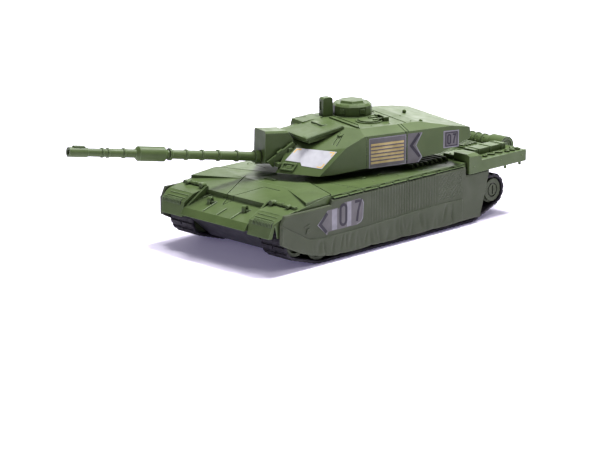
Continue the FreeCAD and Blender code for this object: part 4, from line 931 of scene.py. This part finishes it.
def make_engine_deck_trim():
    """Rivets and borders on the engine deck, and sloping louvres in front of it."""
    trim = Kit(HULL_PLACE)
    for x in (-17.0, -10.0, 3.0, 10.0):
        for y in (66.3, 81.9):
            trim.dome((x, y, DECK_Z), 0.6, UP)
    for x in (-20.6, 20.0):
        trim.block((x, 48.0, UNDER_DECK), (x + 0.6, 66.0, DECK_Z + 0.4), 0.1)
    for y in (64.9, 67.0):
        trim.block((-20.0, y, UNDER_DECK), (20.0, y + 0.4, DECK_Z + 0.3), 0.08)
    for row in range(8):
        y = 18.5 + LOUVRE_PITCH * row
        crest = DECK_Z + 1.9
        trim.skin([[(x, y, UNDER_DECK), (x, y, crest), (x, y + 0.5, crest), (x, y + 2.2, UNDER_DECK)]
                   for x in (-29.5, 29.5)])
    trim.finish("engine_deck_trim", GREEN, "hull", bevel=0.05)


# ---------------------------------------------------------------- trim on the turret

HATCH_X, HATCH_Y = -11.3, 12.6            # middle of the commander's hatch, in the turret's layout


def roof_plane(x, y, height):
    """Drawing plane on the turret's roof."""
    return Vector((x, y, ROOF_Z + height))


def make_turret_roof_trim():
    """Panel lines, a ring round the hatch, bolts and a lip across the roof."""
    trim = Kit(TURRET_PLACE)
    trim.stroke(roof_plane, [(-12.5, 1.6), (13.2, 1.6), (19.9, -1.9)], 0.45, -0.2, 0.35)
    trim.stroke(roof_plane, [(-19.6, 25.5), (19.6, 24.0)], 0.4, -0.2, 0.22)
    trim.stroke(roof_plane, [(2.2, 17.0), (2.2, 24.0)], 0.35, -0.2, 0.22)
    trim.stroke(roof_plane, circle(HATCH_X, HATCH_Y, 11.2, 15, 24), 0.5, -0.3, 0.32, closed=True)
    for x, y in circle(HATCH_X, HATCH_Y, 7.7, 32, 9, start=-140):
        trim.dome((x, y, 58.75), 0.4, UP)
    for x, y in ((17.6, 6.0), (17.6, 16.0), (17.6, 28.0), (-18.4, 28.0), (5.0, 30.0)):
        trim.dome((x, y, ROOF_Z), 0.5, UP)
    trim.block((-7.5, -2.6, ROOF_Z - 0.4), (19.0, -1.6, ROOF_Z + 0.75), 0.1)
    trim.finish("turret_roof_trim", GREEN, "turret", bevel=0.05)


def make_brow_plate():
    """The sloping slab between the gun block and the roof, with a raised edge and a small block."""
    brow = Kit(TURRET_PLACE)
    profile = [(-27.7, 48.75), (-27.7, 49.9), (-7.3, 53.7), (-6.9, 52.2)]
    raised = [(-27.4, 48.75), (-27.4, 50.2), (-7.6, 54.0), (-7.2, 52.5)]
    brow.skin([[(x, y, z) for y, z in profile] for x in (-8.8, 14.3)])
    brow.skin([[(x, y, z) for y, z in raised] for x in (9.9, 14.1)])
    brow.block((-5.2, -14.2, 51.5), (5.2, -10.6, 53.3), 0.25)
    brow.finish("brow_plate", GREEN, "turret", bevel=0.12)


def make_cheek_guide(side, flip):
    """A strip up the cheek beside the gun, with three small lugs."""
    guide = Kit(TURRET_PLACE @ flip)
    strip = [(-44.7, 39.4), (-41.5, 36.3), (-29.4, 45.8), (-30.8, 47.2)]
    lug = [(-39.3, 42.0), (-39.6, 43.2), (-36.9, 44.7), (-36.6, 43.5)]
    guide.skin([[(x, y, z) for y, z in strip] for x in (6.2, 7.3)])
    guide.block((7.1, -41.0, 36.8), (10.6, -38.6, 38.8), 0.1)
    guide.block((7.1, -33.6, 42.8), (8.4, -31.6, 44.6), 0.1)
    guide.skin([[(x, y, z) for y, z in lug] for x in (6.5, 7.9)])
    guide.finish("cheek_guide_" + side, GREEN, "turret", bevel=0.1)


# ---------------------------------------------------------------- camera, light and floor

# Places here are in metres and angles in degrees. Azimuth 0 looks at the front from straight ahead.
CAMERA_LENS, CAMERA_SENSOR = 145.05, 36.0
CAMERA_AZIMUTH, CAMERA_ELEVATION, CAMERA_DISTANCE = 45.104, 14.763, 1.16129
CAMERA_TARGET = (-0.008076, 0.001350, 0.003429)
LIGHT_TARGET = (0.0, 0.0, 0.02)
FLOOR_HALF = 6.0


def aim(thing, target, azimuth, elevation, distance):
    """Put a camera or lamp at a distance from a target, and point it there."""
    a, e = math.radians(azimuth), math.radians(elevation)
    outward = Vector((math.sin(a) * math.cos(e), -math.cos(a) * math.cos(e), math.sin(e)))
    place = Vector(target) + distance * outward
    thing.location = place
    thing.rotation_euler = (Vector(target) - place).to_track_quat("-Z", "Y").to_euler()


def softbox(name, azimuth, elevation, distance, size, power):
    """A rectangular lamp that the camera doesn't see."""
    light = bpy.data.lights.new(name, "AREA")
    light.shape = "RECTANGLE"
    light.size, light.size_y = size
    light.energy = power
    lamp = bpy.data.objects.new(name, light)
    bpy.context.scene.collection.objects.link(lamp)
    aim(lamp, LIGHT_TARGET, azimuth, elevation, distance)
    lamp.visible_camera = False


def make_camera():
    """A long lens, low and to port of the front."""
    data = bpy.data.cameras.new("camera")
    data.lens = CAMERA_LENS
    data.sensor_width = CAMERA_SENSOR
    data.clip_start = 0.01
    data.clip_end = 50.0
    camera = bpy.data.objects.new("camera", data)
    bpy.context.scene.collection.objects.link(camera)
    aim(camera, CAMERA_TARGET, CAMERA_AZIMUTH, CAMERA_ELEVATION, CAMERA_DISTANCE)
    bpy.context.scene.camera = camera


def make_lights():
    """A pale world, three lamps above, a fill in front and a backdrop glow behind."""
    world = bpy.data.worlds.new("studio")
    world.use_nodes = True
    background = world.node_tree.nodes["Background"]
    background.inputs["Color"].default_value = (0.92, 0.90, 1.0, 1.0)
    background.inputs["Strength"].default_value = 0.13
    bpy.context.scene.world = world
    softbox("overhead_back", 172, 68, 1.3, (0.28, 0.28), 29.0)
    softbox("overhead_front", 250, 72, 1.4, (0.3, 0.3), 9.0)
    softbox("overhead_side", 88, 58, 1.4, (0.4, 0.4), 5.0)
    softbox("fill_front", 350, 22, 1.6, (1.0, 0.5), 3.2)
    softbox("backdrop", 225, 12, 2.2, (3.0, 1.0), 30.0)


def make_floor():
    """White paper with a faint violet glow, which gives the shadow its violet tone."""
    grid = bmesh.new()
    bmesh.ops.create_grid(grid, x_segments=8, y_segments=8, size=FLOOR_HALF)
    data = bpy.data.meshes.new("studio_floor")
    grid.to_mesh(data)
    grid.free()
    floor = bpy.data.objects.new("studio_floor", data)
    bpy.context.scene.collection.objects.link(floor)
    paper = Surface("studio_paper", base_roughness=0.9, specular=0.1)
    paper.colour(paper.mix(paper.noise(300.0), (0.84, 0.79, 0.93), (0.86, 0.81, 0.95)))
    paper.shader.inputs["Emission Color"].default_value = (0.62, 0.56, 1.0, 1.0)
    paper.shader.inputs["Emission Strength"].default_value = 0.12
    data.materials.append(paper.material)


# ---------------------------------------------------------------- build

dress_frame()
for side, flip in SIDES:
    make_track(side, flip)
folds = skirt_folds()
for side, flip in SIDES:
    make_skirt(side, flip, folds)
for side, flip in SIDES:
    make_skirt_labels(side, flip)
for side, flip in SIDES:
    make_turret_labels(side, flip)
for side, flip in SIDES:
    make_cheek(side, flip)
make_glacis_trim()
for side, flip in SIDES:
    make_headlamps(side, flip)
    make_mudguard_teeth(side, flip)
    make_deck_rail(side, flip)
    make_skirt_latch(side, flip)
for side, flip in SIDES:
    make_tow_cables(side, flip)
    make_bin_straps(side, flip)
    make_drum_bolts(side, flip)
make_engine_deck_trim()
make_turret_roof_trim()
make_brow_plate()
for side, flip in SIDES:
    make_cheek_guide(side, flip)

make_camera()
make_lights()
make_floor()
bpy.context.scene.view_settings.view_transform = "Standard"
bpy.context.scene.view_settings.look = "None"
